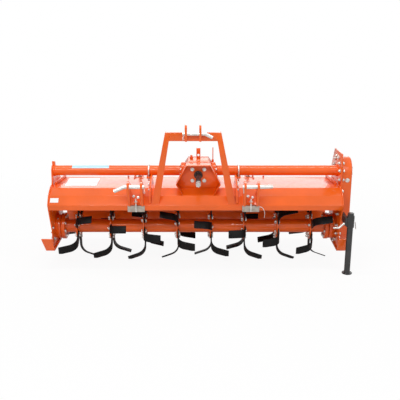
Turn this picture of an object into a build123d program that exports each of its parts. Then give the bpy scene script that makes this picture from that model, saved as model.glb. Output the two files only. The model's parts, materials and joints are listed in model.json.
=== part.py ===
from build123d import *
import math
import os

# Full-width rotary tiller for a three-point hitch, in millimetres.
# X runs along the rotor, -Y is the tractor side, +Z is up. The model is laid out with the
# rotor's axis over y = 0 and the floor at z = 0, and is moved to its origin at the end.

# ---------------------------------------------------------------- driving dimensions
FLANGE_COUNT = 8            # blade flanges on the rotor
FLANGE_PITCH = 252.0        # spacing of the flanges, one working strip each
FLANGE_FIRST_X = -898.0     # first flange from the left
TIP_RADIUS = 256.0          # circle that the blade tips run on
ROTOR_Z = TIP_RADIUS        # the tiller parks on its blade tips
PLATE_IN = 1060.0           # inner face of each side plate, from the middle
PLATE_THICK = 8.0
BEAM_Z = 694.0              # axis of the main beam, straight above the rotor
BEAM_RADIUS = 38.0
BEAM_WALL = 8.0
BEAM_NECK_GROW = 24.0       # bolting ring at the gearbox, past the tube
BEAM_END_GROW = 6.0         # weld collar at each side plate, past the tube
DECK_THICK = 5.0
HITCH_X = -15.0             # middle plane of the hitch
GEARBOX_X = 20.0            # middle plane of the gearbox and input shaft
RUN_GAP = 0.05              # radial running fit of shafts and pins
FIT_GAP = 0.5               # radial slack of the stand's leg in its sleeve

# ---------------------------------------------------------------- rotor
TUBE_RADIUS = 51.0
TUBE_WALL = 8.0
FLANGE_RADIUS = 100.0
FLANGE_THICK = 8.0
END_DISC_RADIUS = 100.0
END_DISC_THICK = 26.0
END_DISC_GAP = 5.0          # between the turning end disc and the fixed bearing hub
STUB_RADIUS = 30.0
HUB_RADIUS = 95.0
HUB_LEFT_WIDTH = 38.0
HUB_RIGHT_WIDTH = 50.0

# ---------------------------------------------------------------- blades
BLADE_THICK = 8.0
BLADE_BASE_RADIUS = 60.0
BLADE_BASE_WIDTH = 58.0
BLADE_TIP_WIDTH = 60.0
BLADE_CLEARANCE = 26.0      # lean of the scoop, so that its trailing edge runs inside the tip circle, degrees
BLADE_REACH = 131.0         # sideways reach of a blade past its seat on the flange
BLADE_BEND_RADIUS = 78.0
BLADE_BEND_AT = 198.0       # radius at which shank and scoop lines meet
BLADE_TRAIL = 38.0          # how far the tip trails behind the shank
BLADES_PER_HAND = 3
PHASE_FIRST = 31.0          # angle of the first right-hand tip above the front, degrees
PHASE_STEP = -120.0 / 7     # helix step from flange to flange, degrees

# ---------------------------------------------------------------- deck, as its outer fold line (y, z)
DECK_LIP_DEPTH = 38.0
DECK_FRONT = (-256.0, 500.0)
DECK_CREASE = (-212.0, 560.0)
DECK_TOP_FRONT = (-132.0, 595.0)
DECK_TOP_REAR = (181.0, 595.0)
DECK_REAR = (235.0, 571.0)
DECK_LINE = [
    (DECK_FRONT[0], DECK_FRONT[1] - DECK_LIP_DEPTH),
    DECK_FRONT,
    DECK_CREASE,
    DECK_TOP_FRONT,
    DECK_TOP_REAR,
    DECK_REAR,
]
DECK_TOP = DECK_TOP_FRONT[1]
RAIL_DEPTH = 40.0           # square tube behind the front lip
RAIL_HEIGHT = 30.0
RAIL_WALL = 6.0

# ---------------------------------------------------------------- gearbox and input shaft
GEARBOX_HALF = 100.0
GEARBOX_FRONT = -118.0
GEARBOX_BACK = 84.0
GEARBOX_TOP = 782.0
GEARBOX_NECK = 16.0         # flange between gearbox and each beam half
INPUT_Z = 692.0
INPUT_RADIUS = 17.5
INPUT_COLLAR_RADIUS = 18.5
INPUT_END = -392.0
SPLINE_LENGTH = 42.0
CAP_RADIUS = 31.0
CAP_DEPTH = 16.0
SEAL_RADIUS = 26.0
SEAL_DEPTH = 14.0
FRONT_PLATE_THICK = 8.0
COWL_WALL = 3.0
COWL_FRONT = -213.0
COWL_TOP_HALF = 87.0
COWL_SIDE_HALF = 162.0
COWL_FOOT_HALF = 112.0
COWL_TOP = 783.0
COWL_SIDE_Z = 640.0
COWL_FOOT_Z = 562.0

# ---------------------------------------------------------------- mast and headstock
MAST_TOP_Z = 1044.0
MAST_BAR_HEIGHT = 61.0
MAST_TOP_HALF = 194.0
MAST_TOP_WIDTH = 36.0
MAST_FOOT_HALF = 307.0
MAST_FOOT_WIDTH = 56.0
MAST_FOOT_Y = -250.0
MAST_TOP_Y = -312.0
MAST_PLATE = 12.0
MAST_DEPTH = 46.0
HEADSTOCK_THICK = 12.0
TOP_EAR_HALF = 49.5
TOP_EAR_THICK = 15.0
TOP_PIN = (-340.0, 1041.0)
TOP_PIN_RADIUS = 12.7
TOP_SPARE = (-331.0, 1079.0)
TOP_SPARE_RADIUS = 12.9
CLAMP_OFFSET = 15.0         # U-bolt beside its gusset
CLAMP_ROD = 6.0
CLAMP_SADDLE = 8.0

# ---------------------------------------------------------------- lower links
LOWER_HALF_SPREAD = 412.5
LOWER_EAR_GAP = 78.0
LOWER_EAR_THICK = 15.0
LOWER_PIN = (-330.0, 660.0)
LOWER_PIN_RADIUS = 14.0
LOWER_SPARE = (-276.0, 628.0)
LOWER_SPARE_RADIUS = 14.3
CLAMP_PLATE_WIDTH = 123.0
CLAMP_PLATE_THICK = 10.0

# ---------------------------------------------------------------- side gear case
CASE_FLANGE = 12.0
CASE_FLANGE_LIP = 8.0
CASE_WIDTH = 82.0
CASE_TOP_RADIUS = 106.0
CASE_FOOT_RADIUS = 111.0
CASE_ROUND = 14.0

# ---------------------------------------------------------------- skids
SOLE_THICK = 8.0
SOLE_Z = 127.0
SOLE_IN = 1048.0
SOLE_WIDTH = 64.0
SOLE_OUT = SOLE_IN + SOLE_WIDTH
SOLE_REAR = 190.0
SOLE_FOLD = -205.0
NOSE_TOP = (-265.0, 240.0)
NOSE_FLARE = 16.0           # outwards only, clear of the blades

# ---------------------------------------------------------------- parking stand
STAND_OUT = 40.0            # from the right plate's outer face to the leg's axis
STAND_X = PLATE_IN + PLATE_THICK + STAND_OUT
STAND_Y = -320.0
LEG_RADIUS = 21.5
LEG_WALL = 4.0
LEG_TOP = 465.0
FOOT_RADIUS = 37.0
FOOT_THICK = 9.0
SLEEVE_WALL = 5.5
SLEEVE_LOW = 359.0
SLEEVE_HIGH = 443.0
LOCK_Z = 384.0
LOCK_RADIUS = 7.0
LOCK_SHANK = 24.0           # from the bore to the crank
LOCK_DROP = 32.0
LOCK_GRIP = 42.0

# ---------------------------------------------------------------- rear board and its adjuster rods
HINGE = (265.0, 557.0)
HINGE_ROD_RADIUS = 8.0
KNUCKLE_RADIUS = 14.0
KNUCKLE_LENGTH = 240.0
KNUCKLE_COUNT = 4
LUG_GAP = 6.0
LUG_THICK = 10.0
BOARD_HALF = 1050.0
BOARD_THICK = 3.0
BOARD_LINE = [(283.0, 539.0), (312.0, 430.0), (318.0, 262.0), (288.0, 122.0)]
ROD_X = 430.0
ROD_RADIUS = 9.0
ROD_FOOT = (395.0, 410.0)
ROD_EYE = (264.0, 608.0)
ROD_PAST_EYE = 55.0
ROD_SLACK = 7.0
ROD_PIN_RADIUS = 7.0
ROD_EYE_RADIUS = 16.0
ROD_NUT_RADIUS = 15.0
SPRING_RADIUS = 18.0
SPRING_LENGTH = 95.0
SPRING_GAP = 45.0           # from the spring up to the middle of the eye block
FORK_GAP = 24.0             # between the board's two lugs at each rod
FORK_THICK = 6.0
EYE_BLOCK = (52.0, 46.0, 12.0)
CHEEK_THICK = 6.0


# ---------------------------------------------------------------- small tools
def mirrored(shape):
    """The same piece on the other side of the middle plane."""
    return mirror(shape, about=Plane.YZ)


def hitch_mirrored(shape):
    """The same piece on the other side of the hitch's middle plane."""
    return Pos(2 * HITCH_X, 0, 0) * mirrored(shape)


def box(x0, x1, y0, y1, z0, z1):
    return Pos((x0 + x1) / 2, (y0 + y1) / 2, (z0 + z1) / 2) * Box(x1 - x0, y1 - y0, z1 - z0)


def x_bar(radius, x0, x1, y, z):
    """A round bar along X."""
    return Pos((x0 + x1) / 2, y, z) * Rot(0, 90, 0) * Cylinder(radius, x1 - x0)


def y_bar(radius, x, y0, y1, z):
    """A round bar along Y."""
    return Pos(x, (y0 + y1) / 2, z) * Rot(90, 0, 0) * Cylinder(radius, y1 - y0)


def z_bar(radius, x, y, z0, z1):
    """A round bar along Z."""
    return Pos(x, y, (z0 + z1) / 2) * Cylinder(radius, z1 - z0)


def side_prism(points, x0, x1):
    """An outline drawn in (y, z), carried along X from x0 to x1."""
    face = make_face(Polyline(*points, close=True))
    return Pos(x0, 0, 0) * extrude(Plane.YZ * face, x1 - x0)


def front_prism(points, y0, y1):
    """An outline drawn in (x, z), carried along Y from y0 to y1."""
    face = make_face(Polyline(*points, close=True))
    return Pos(0, y1, 0) * extrude(Plane.XZ * face, y1 - y0)


def beside(points, distance):
    """The same open line moved sideways to its left, with mitred corners."""
    moved = []
    last = len(points) - 1
    for i, (a, b) in enumerate(points):
        before = points[max(i - 1, 0)]
        after = points[min(i + 1, last)]
        into = Vector(a - before[0], b - before[1])
        out = Vector(after[0] - a, after[1] - b)
        into = (into if i > 0 else out).normalized()
        out = (out if i < last else into).normalized()
        normal = Vector(-into.Y - out.Y, into.X + out.X).normalized()
        mitre = distance / normal.dot(Vector(-into.Y, into.X))
        moved.append((a + normal.X * mitre, b + normal.Y * mitre))
    return moved


def strip_face(points, thickness, bend=0.0):
    """The edge-on face of a folded strip; its thickness lies to the left of the line."""
    left = beside(points, thickness)
    face = make_face(Polyline(*points, *reversed(left), close=True))
    for i in range(1, len(points) - 1):
        into = Vector(points[i][0] - points[i - 1][0], points[i][1] - points[i - 1][1])
        out = Vector(points[i + 1][0] - points[i][0], points[i + 1][1] - points[i][1])
        turns_left = into.cross(out).Z > 0
        bends_towards = turns_left == (thickness > 0)
        inner = left[i] if bends_towards else points[i]
        outer = points[i] if bends_towards else left[i]
        for corner, radius in ((inner, bend), (outer, bend + abs(thickness))):
            if radius > 0:
                face = fillet(face.vertices().sort_by_distance(Vector(*corner))[0], radius)
    return face


def sheet(points, thickness, x0, x1, bend=0.0):
    """A folded sheet whose fold line is drawn in (y, z), from x0 to x1."""
    return Pos(x0, 0, 0) * extrude(Plane.YZ * strip_face(points, thickness, bend), x1 - x0)


def bent_rod(points, radius, bend):
    """A round rod through the points, with its corners bent to a radius."""
    path = FilletPolyline(*points, radius=bend)
    return sweep(Plane(origin=path @ 0, z_dir=path % 0) * Circle(radius), path=path)


def under_deck():
    """All the space under the deck's outer skin, for seating what stands on it."""
    outline = DECK_LINE + [(DECK_LINE[-1][0], 0), (DECK_LINE[0][0], 0)]
    return side_prism(outline, -PLATE_IN, PLATE_IN)


# ---------------------------------------------------------------- beam, plates and deck
def beam_half(x0, x1):
    """One half of the main beam's tube."""
    return x_bar(BEAM_RADIUS, x0, x1, 0, BEAM_Z) - x_bar(BEAM_RADIUS - BEAM_WALL, x0, x1, 0, BEAM_Z)


def beam_ring(x, side, grow):
    """A ring on the beam, against a face at x and larger than the tube by grow."""
    thick = 12.0
    x0 = min(x, x + side * thick)
    ring = x_bar(BEAM_RADIUS + grow, x0, x0 + thick, 0, BEAM_Z)
    return ring - x_bar(BEAM_RADIUS - BEAM_WALL, x0, x0 + thick, 0, BEAM_Z)


def beam_left():
    neck = GEARBOX_X - GEARBOX_HALF - GEARBOX_NECK
    tube = beam_half(-PLATE_IN, neck) + beam_ring(-PLATE_IN, 1, BEAM_END_GROW)
    return tube + beam_ring(neck, -1, BEAM_NECK_GROW)


def beam_right():
    neck = GEARBOX_X + GEARBOX_HALF + GEARBOX_NECK
    tube = beam_half(neck, PLATE_IN) + beam_ring(PLATE_IN, -1, BEAM_END_GROW)
    return tube + beam_ring(neck, 1, BEAM_NECK_GROW)


def plate_outline():
    """The side plate's outline up to the deck: front, foot and rear edges."""
    half_foot = 120.0
    return [
        (DECK_TOP_FRONT[0] + 60, DECK_TOP + 14),
        (DECK_TOP_FRONT[0], DECK_TOP + 10),
        (DECK_CREASE[0], DECK_CREASE[1] + 6),
        (DECK_FRONT[0] - 4, DECK_FRONT[1] + 4),
        (DECK_FRONT[0] + 12, DECK_FRONT[1] - 50),
        (-180.0, 283.0),
        (-half_foot - 40, SOLE_Z + SOLE_THICK),
        (half_foot, SOLE_Z + SOLE_THICK),
        (half_foot + 70, ROTOR_Z - 50),
        (DECK_REAR[0] - 14, ROTOR_Z + 14),
        (DECK_REAR[0] - 10, 480.0),
        (DECK_REAR[0] + 4, DECK_REAR[1] + 6),
        (DECK_TOP_REAR[0], DECK_TOP_REAR[1] + 12),
    ]


def side_plate_left():
    """Left end plate, with a neck up to the beam and a small lug on top."""
    boss = BEAM_RADIUS + 22
    neck_top = BEAM_Z + BEAM_RADIUS + 8
    neck = [(boss, BEAM_Z - 30), (boss, BEAM_Z + 20), (boss - 26, neck_top),
            (-boss + 26, neck_top), (-boss, BEAM_Z + 20)]
    plate = side_prism(plate_outline() + neck, -PLATE_IN - PLATE_THICK, -PLATE_IN)
    lug_low = BEAM_Z + BEAM_RADIUS + BEAM_END_GROW
    lug = side_prism([(-14, lug_low), (14, lug_low), (14, lug_low + 18), (-14, lug_low + 30)],
                     -PLATE_IN - PLATE_THICK, -PLATE_IN + 12)
    return plate + lug


def side_plate_right():
    """Right end plate, with a large upper part that the gear case bolts to."""
    upper = [(230.0, BEAM_Z - 10), (140.0, BEAM_Z + 138), (-128.0, BEAM_Z + 154), (-140.0, BEAM_Z - 30)]
    return side_prism(plate_outline() + upper, PLATE_IN, PLATE_IN + PLATE_THICK)


def gear_case():
    """Side drive case: a stadium body on a bolting lip, with the train inside left solid."""
    inner = PLATE_IN + PLATE_THICK

    def stadium(grow, x0, x1):
        top = Pos(0, BEAM_Z) * Circle(CASE_TOP_RADIUS + grow)
        foot = Pos(0, ROTOR_Z) * Circle(CASE_FOOT_RADIUS + grow)
        face = make_hull(top.edges() + foot.edges())
        return Pos(x0, 0, 0) * extrude(Plane.YZ * face, x1 - x0)

    lip = stadium(CASE_FLANGE_LIP, inner, inner + CASE_FLANGE)
    body = stadium(0, inner + CASE_FLANGE, inner + CASE_WIDTH)
    rim = body.faces().sort_by(Axis.X)[-1].edges()
    return lip + fillet(rim, CASE_ROUND)


def deck():
    """The folded hood over the rotor."""
    return sheet(list(reversed(DECK_LINE)), DECK_THICK, -PLATE_IN, PLATE_IN, bend=3.0)


def deck_front_rail():
    """Tube behind the deck's front lip, which the hitch brackets clamp to."""
    y0 = DECK_FRONT[0] + DECK_THICK
    y1 = y0 + RAIL_DEPTH
    z0 = DECK_FRONT[1] - DECK_LIP_DEPTH
    z1 = z0 + RAIL_HEIGHT
    rail = box(-PLATE_IN, PLATE_IN, y0, y1, z0, z1)
    return rail - box(-PLATE_IN, PLATE_IN, y0 + RAIL_WALL, y1 - RAIL_WALL, z0 + RAIL_WALL, z1 - RAIL_WALL)


def deck_end_strip():
    """A narrow strip on edge along the left end of the deck's top."""
    run_y0 = DECK_TOP_FRONT[0] + 70
    run_y1 = DECK_TOP_REAR[0] - 6
    in0 = 12.0
    in1 = 46.0
    thick = 7.0
    corners = [(-PLATE_IN + in0, run_y0), (-PLATE_IN + in0 + thick, run_y0),
               (-PLATE_IN + in1 + thick, run_y1), (-PLATE_IN + in1, run_y1)]
    face = make_face(Polyline(*corners, close=True))
    return Pos(0, 0, DECK_TOP) * extrude(face, 22.0)


# ---------------------------------------------------------------- gearbox
def gearbox():
    """Gearbox casting as one closed block, seated on the deck between the beam halves."""
    x0 = GEARBOX_X - GEARBOX_HALF
    x1 = GEARBOX_X + GEARBOX_HALF
    slope = 38.0
    outline = [(x0, DECK_TOP), (x1, DECK_TOP), (x1, GEARBOX_TOP - slope), (x1 - slope + 12, GEARBOX_TOP),
               (x0 + slope - 12, GEARBOX_TOP), (x0, GEARBOX_TOP - slope)]
    block = front_prism(outline, GEARBOX_FRONT, GEARBOX_BACK)
    for x in (x0 - GEARBOX_NECK, x1):
        block += x_bar(BEAM_RADIUS + BEAM_NECK_GROW, x, x + GEARBOX_NECK, 0, BEAM_Z)
    return block


def cowl_outline(inset):
    """Six-sided section of the input guard, open at its foot, as a line from foot to foot."""
    half = [(COWL_FOOT_HALF, COWL_FOOT_Z), (COWL_SIDE_HALF, COWL_SIDE_Z), (COWL_TOP_HALF, COWL_TOP)]
    right = [(GEARBOX_X + x, z) for x, z in half]
    left = [(GEARBOX_X - x, z) for x, z in reversed(half)]
    line = right + left
    return beside(line, inset) if inset else line


def front_plate():
    """Plate on the gearbox's face that closes the back of the input guard."""
    plate = front_prism(cowl_outline(COWL_WALL), GEARBOX_FRONT - FRONT_PLATE_THICK, GEARBOX_FRONT)
    plate -= y_bar(CAP_RADIUS, GEARBOX_X, GEARBOX_FRONT - FRONT_PLATE_THICK, GEARBOX_FRONT, INPUT_Z)
    return plate - under_deck()


def pto_cowl():
    """Folded sheet guard round the input shaft, open to the front and seated on the deck."""
    line = cowl_outline(0)
    band = line + list(reversed(cowl_outline(COWL_WALL)))
    guard = front_prism(band, COWL_FRONT, GEARBOX_FRONT)
    return guard - under_deck()


def input_cap():
    """Bearing cap on the gearbox's face with its shaft seal."""
    face = GEARBOX_FRONT
    cap = y_bar(CAP_RADIUS, GEARBOX_X, face - CAP_DEPTH, face, INPUT_Z)
    cap += y_bar(SEAL_RADIUS, GEARBOX_X, face - CAP_DEPTH - SEAL_DEPTH, face - CAP_DEPTH, INPUT_Z)
    bore = INPUT_COLLAR_RADIUS + RUN_GAP
    return cap - y_bar(bore, GEARBOX_X, face - CAP_DEPTH - SEAL_DEPTH, face, INPUT_Z)


def pto_shaft():
    """Input shaft: a plain part in the seal and a splined end."""
    back = GEARBOX_FRONT - 1.0
    step = INPUT_END + SPLINE_LENGTH
    shaft = y_bar(INPUT_COLLAR_RADIUS, GEARBOX_X, step, back, INPUT_Z)
    return shaft + y_bar(INPUT_RADIUS, GEARBOX_X, INPUT_END, step, INPUT_Z)


def gearbox_fittings():
    """Lifting eye, filler plug and dipstick holder on the gearbox's top."""
    eye_high = 76.0
    eye = box(GEARBOX_X - 15, GEARBOX_X + 15, 20, 30, GEARBOX_TOP, GEARBOX_TOP + eye_high)
    eye -= y_bar(9.0, GEARBOX_X, 20, 30, GEARBOX_TOP + 24)
    plug_x = GEARBOX_X - 52
    plug = z_bar(13.0, plug_x, 10, GEARBOX_TOP, GEARBOX_TOP + 14)
    plug += z_bar(8.0, plug_x, 10, GEARBOX_TOP + 14, GEARBOX_TOP + 26)
    return [eye, plug]


def dipstick():
    """Holder ring on the gearbox's shoulder with its thin rod."""
    x = GEARBOX_X + GEARBOX_HALF
    z = GEARBOX_TOP - 52
    arm = box(x, x + 16, 70, 80, z, z + 30)
    rod = z_bar(3.5, x + 9, 75, z + 30, z + 122)
    return arm + rod


# ---------------------------------------------------------------- mast and headstock
def mast_plane(depth_front, depth_back):
    """The mast's leaning slab, between two depths behind its front face."""
    foot_z = DECK_FRONT[1] - 10
    line = [(MAST_FOOT_Y, foot_z), (MAST_TOP_Y, MAST_TOP_Z)]
    front = [(y + depth_front, z) for y, z in line]
    back = [(y + depth_back, z) for y, z in reversed(line)]
    return side_prism(front + back, HITCH_X - 2 * MAST_FOOT_HALF, HITCH_X + 2 * MAST_FOOT_HALF)


def leg_outline(inner_share):
    """One tapering leg in (x, z), as wide as a share of its full width from the outside."""
    foot_z = DECK_FRONT[1] - 10
    return [
        (HITCH_X - MAST_FOOT_HALF, foot_z),
        (HITCH_X - MAST_FOOT_HALF + MAST_FOOT_WIDTH * inner_share, foot_z),
        (HITCH_X - MAST_TOP_HALF + MAST_TOP_WIDTH * inner_share, MAST_TOP_Z),
        (HITCH_X - MAST_TOP_HALF, MAST_TOP_Z),
    ]


def mast_leg():
    """Left mast leg: a front plate with a flange turned back along its outer edge."""
    reach_y0 = MAST_TOP_Y - 10
    reach_y1 = MAST_FOOT_Y + 200
    face = front_prism(leg_outline(1.0), reach_y0, reach_y1) & mast_plane(0, MAST_PLATE)
    edge = front_prism(leg_outline(0.17), reach_y0, reach_y1) & mast_plane(0, MAST_DEPTH)
    return face + edge - under_deck()


def mast_crossbar(legs):
    """Flat bar between the legs' tops."""
    bar = box(HITCH_X - MAST_TOP_HALF + 4, HITCH_X + MAST_TOP_HALF - 4, MAST_TOP_Y - 10, MAST_TOP_Y + 100,
              MAST_TOP_Z - MAST_BAR_HEIGHT, MAST_TOP_Z)
    bar = bar & mast_plane(0, MAST_PLATE + 4)
    for leg in legs:
        bar -= leg
    return bar


def bar_face_y(z):
    """Where the crossbar's front face stands at a height."""
    foot_z = DECK_FRONT[1] - 10
    return MAST_FOOT_Y + (MAST_TOP_Y - MAST_FOOT_Y) * (z - foot_z) / (MAST_TOP_Z - foot_z)


def top_link_ears():
    """Two ears on the crossbar's face, with a pin hole and a free hole each."""
    low = MAST_TOP_Z - MAST_BAR_HEIGHT + 4
    top = MAST_TOP_Z + 58
    pin_y, pin_z = TOP_PIN
    outline = [(bar_face_y(low), low), (bar_face_y(MAST_TOP_Z), MAST_TOP_Z), (pin_y + 30, top - 12),
               (pin_y + 22, top), (pin_y - 10, top), (pin_y - 22, top - 14), (pin_y - 22, pin_z - 12),
               (pin_y - 4, low)]
    ears = []
    for side in (-1, 1):
        middle = HITCH_X + side * TOP_EAR_HALF
        x0 = middle - TOP_EAR_THICK / 2
        x1 = middle + TOP_EAR_THICK / 2
        ear = side_prism(outline, x0, x1)
        ear -= x_bar(TOP_PIN_RADIUS + RUN_GAP, x0, x1, *TOP_PIN)
        ears.append(ear - x_bar(TOP_SPARE_RADIUS, x0, x1, *TOP_SPARE))
    return ears


def headstock():
    """Left gusset plate from the beam down to the mast's foot, with its clamp saddle."""
    x1 = HITCH_X - MAST_FOOT_HALF
    x0 = x1 - HEADSTOCK_THICK
    high = BEAM_Z - 22
    outline = [(46, high), (46, DECK_TOP - 60), (DECK_FRONT[0] + 10, DECK_TOP - 90),
               (DECK_FRONT[0] - 6, DECK_FRONT[1] + 20), (DECK_FRONT[0] + 10, DECK_CREASE[1] + 12),
               (DECK_CREASE[0] + 36, DECK_TOP + 45), (-70, high - 4), (-46, high)]
    plate = side_prism(outline, x0, x1) - x_bar(BEAM_RADIUS, x0, x1, 0, BEAM_Z) - under_deck()
    saddle_high = BEAM_Z - BEAM_RADIUS
    saddle_low = saddle_high - CLAMP_SADDLE
    bolt_y = BEAM_RADIUS + CLAMP_ROD
    saddle = box(x0 - 30, x0, -bolt_y - 18, bolt_y + 18, saddle_low, saddle_high)
    for side in (-1, 1):
        saddle -= z_bar(CLAMP_ROD, x0 - CLAMP_OFFSET, side * bolt_y, saddle_low, saddle_high)
    return plate + saddle


def beam_clamp():
    """Left U-bolt round the beam, down through its saddle, with its nuts."""
    x = HITCH_X - MAST_FOOT_HALF - HEADSTOCK_THICK - CLAMP_OFFSET
    turn = BEAM_RADIUS + CLAMP_ROD
    nut_high = 10.0
    nut_top = BEAM_Z - BEAM_RADIUS - CLAMP_SADDLE
    half_ring = Pos(x, 0, BEAM_Z) * Rot(0, 90, 0) * Torus(turn, CLAMP_ROD)
    bolt = half_ring & box(x - 20, x + 20, -2 * turn, 2 * turn, BEAM_Z, BEAM_Z + 2 * turn)
    for side in (-1, 1):
        bolt += z_bar(CLAMP_ROD, x, side * turn, nut_top - nut_high - 16, BEAM_Z)
        bolt += Pos(x, side * turn, nut_top - nut_high) * extrude(RegularPolygon(11.0, 6), nut_high)
    return bolt


# ---------------------------------------------------------------- lower link brackets and pins
def lower_bracket():
    """Left lower-link bracket: two ears on a base strip that sits on the deck's front fold."""
    middle = HITCH_X - LOWER_HALF_SPREAD
    half = LOWER_EAR_GAP / 2
    pin_y, pin_z = LOWER_PIN
    outline = [DECK_FRONT, DECK_CREASE, (-178.0, 575.0), (-196.0, 640.0), (pin_y + 34, pin_z + 32),
               (pin_y - 14, pin_z + 32), (pin_y - 30, pin_z + 12), (pin_y - 28, pin_z - 22),
               (DECK_FRONT[0] - 22, DECK_FRONT[1])]
    bracket = None
    for side in (-1, 1):
        near = middle + side * half
        far = near + side * LOWER_EAR_THICK
        x0 = min(near, far)
        x1 = max(near, far)
        ear = side_prism(outline, x0, x1) - under_deck()
        ear -= x_bar(LOWER_PIN_RADIUS + RUN_GAP, x0, x1, *LOWER_PIN)
        ear -= x_bar(LOWER_SPARE_RADIUS, x0, x1, *LOWER_SPARE)
        bracket = ear if bracket is None else bracket + ear
    base = sheet([DECK_FRONT, DECK_CREASE], 10.0, middle - half, middle + half)
    return bracket + (base - under_deck())


def deck_clamp():
    """Bare clamp plate that hooks under the deck's front lip below a bracket."""
    middle = HITCH_X - LOWER_HALF_SPREAD
    half = CLAMP_PLATE_WIDTH / 2
    lip_y, lip_z = DECK_LINE[0]
    front = box(middle - half, middle + half, lip_y - CLAMP_PLATE_THICK, lip_y, lip_z - 8, DECK_FRONT[1])
    hook = box(middle - half, middle + half, lip_y, lip_y + 30, lip_z - 8, lip_z)
    return front + hook


def top_pin():
    """Top-link pin with its bent handle."""
    y, z = TOP_PIN
    reach = TOP_EAR_HALF + TOP_EAR_THICK / 2
    left = HITCH_X - reach - 16
    right = HITCH_X + reach + 24
    return bent_rod([(left, y, z), (right, y, z), (right + 52, y - 4, z - 26)], TOP_PIN_RADIUS, 26)


def lower_pin(bend_y, bend_z):
    """Left lower-link pin, its handle bent off by so much at its outer end."""
    y, z = LOWER_PIN
    middle = HITCH_X - LOWER_HALF_SPREAD
    half = LOWER_EAR_GAP / 2 + LOWER_EAR_THICK
    return bent_rod([(middle + half + 12, y, z), (middle - half - 22, y, z),
                     (middle - half - 92, y + bend_y, z + bend_z)], LOWER_PIN_RADIUS, 34)


# ---------------------------------------------------------------- rotor
def flange_x(index):
    return FLANGE_FIRST_X + FLANGE_PITCH * index


def rotor_tube():
    """Rotor tube with its flanges, end discs and stub axles."""
    disc_left = -PLATE_IN + HUB_LEFT_WIDTH + END_DISC_GAP
    disc_right = PLATE_IN - HUB_RIGHT_WIDTH - END_DISC_GAP
    tube = x_bar(TUBE_RADIUS, disc_left, disc_right, 0, ROTOR_Z)
    bore_x0 = disc_left + END_DISC_THICK
    bore_x1 = disc_right - END_DISC_THICK
    tube += x_bar(END_DISC_RADIUS, disc_left, bore_x0, 0, ROTOR_Z)
    tube += x_bar(END_DISC_RADIUS, bore_x1, disc_right, 0, ROTOR_Z)
    for index in range(FLANGE_COUNT):
        x = flange_x(index)
        tube += x_bar(FLANGE_RADIUS, x - FLANGE_THICK / 2, x + FLANGE_THICK / 2, 0, ROTOR_Z)
    tube -= x_bar(TUBE_RADIUS - TUBE_WALL, bore_x0, bore_x1, 0, ROTOR_Z)
    tube += x_bar(STUB_RADIUS, -PLATE_IN + 1, disc_left, 0, ROTOR_Z)
    return tube + x_bar(STUB_RADIUS, disc_right, PLATE_IN - 1, 0, ROTOR_Z)


def bearing_hub(x0, x1):
    """Fixed bearing hub on a side plate, bored for the rotor's stub axle."""
    hub = x_bar(HUB_RADIUS, x0, x1, 0, ROTOR_Z)
    return hub - x_bar(STUB_RADIUS + RUN_GAP, x0, x1, 0, ROTOR_Z)


def blade():
    """One right-hand blade pointing up from the rotor's axis, its seat on the plane x = 0."""
    end_radius = TIP_RADIUS - 8
    path = [(0, BLADE_BASE_RADIUS), (0, BLADE_BEND_AT), (BLADE_REACH, end_radius)]
    ribbon_face = strip_face(path, -BLADE_THICK, BLADE_BEND_RADIUS)
    width = 4 * BLADE_TIP_WIDTH
    across_y = math.cos(math.radians(BLADE_CLEARANCE))
    across_z = math.sin(math.radians(BLADE_CLEARANCE))
    start = Pos(0, BLADE_TRAIL + across_y * width / 2, -across_z * width / 2)
    ribbon = start * extrude(Plane.XZ * ribbon_face, width, dir=(0, -across_y, across_z))
    base = BLADE_BASE_WIDTH / 2
    tip = BLADE_TIP_WIDTH / 2
    middle = (BLADE_BASE_RADIUS + end_radius) / 2
    lag = BLADE_TRAIL / 4
    high = end_radius + 20
    half_width = (base + tip) / 2
    foot_lead = (-base, BLADE_BASE_RADIUS)
    foot_trail = (base, BLADE_BASE_RADIUS)
    tip_lead = (BLADE_TRAIL - tip, high)
    tip_trail = (BLADE_TRAIL + tip, high)
    leading = ThreePointArc(foot_lead, (lag - half_width, middle), tip_lead)
    across_tip = Line(tip_lead, tip_trail)
    trailing = ThreePointArc(tip_trail, (lag + half_width, middle), foot_trail)
    across_base = Line(foot_trail, foot_lead)
    side_face = make_face(leading + across_tip + trailing + across_base)
    side = Pos(-BLADE_THICK, 0, 0) * extrude(Plane.YZ * side_face, BLADE_REACH + 3 * BLADE_THICK)
    tip_circle = x_bar(TIP_RADIUS, -2 * BLADE_THICK, BLADE_REACH + 2 * BLADE_THICK, 0, 0)
    return ribbon & side & tip_circle


def blade_angles(index):
    """The tip angles of one flange's blades: (degrees above the front, hand), hand 1 bending to +X."""
    first = PHASE_FIRST + PHASE_STEP * index
    turn = 360.0 / BLADES_PER_HAND
    angles = []
    for k in range(BLADES_PER_HAND):
        angles.append((first + turn * k, 1))
        angles.append((first - turn / 2 + turn * k, -1))
    return angles


def blade_set(index):
    """The six blades bolted to one flange, three of each hand."""
    right_hand = blade()
    left_hand = Pos(BLADE_THICK, 0, 0) * mirrored(right_hand)
    seat = flange_x(index) + FLANGE_THICK / 2
    lead = math.degrees(math.atan2(BLADE_TRAIL, TIP_RADIUS))
    blades = []
    for angle, hand in blade_angles(index):
        one = right_hand if hand > 0 else left_hand
        blades.append(Pos(seat, 0, ROTOR_Z) * Rot(90 - angle + lead, 0, 0) * one)
    return blades


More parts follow.
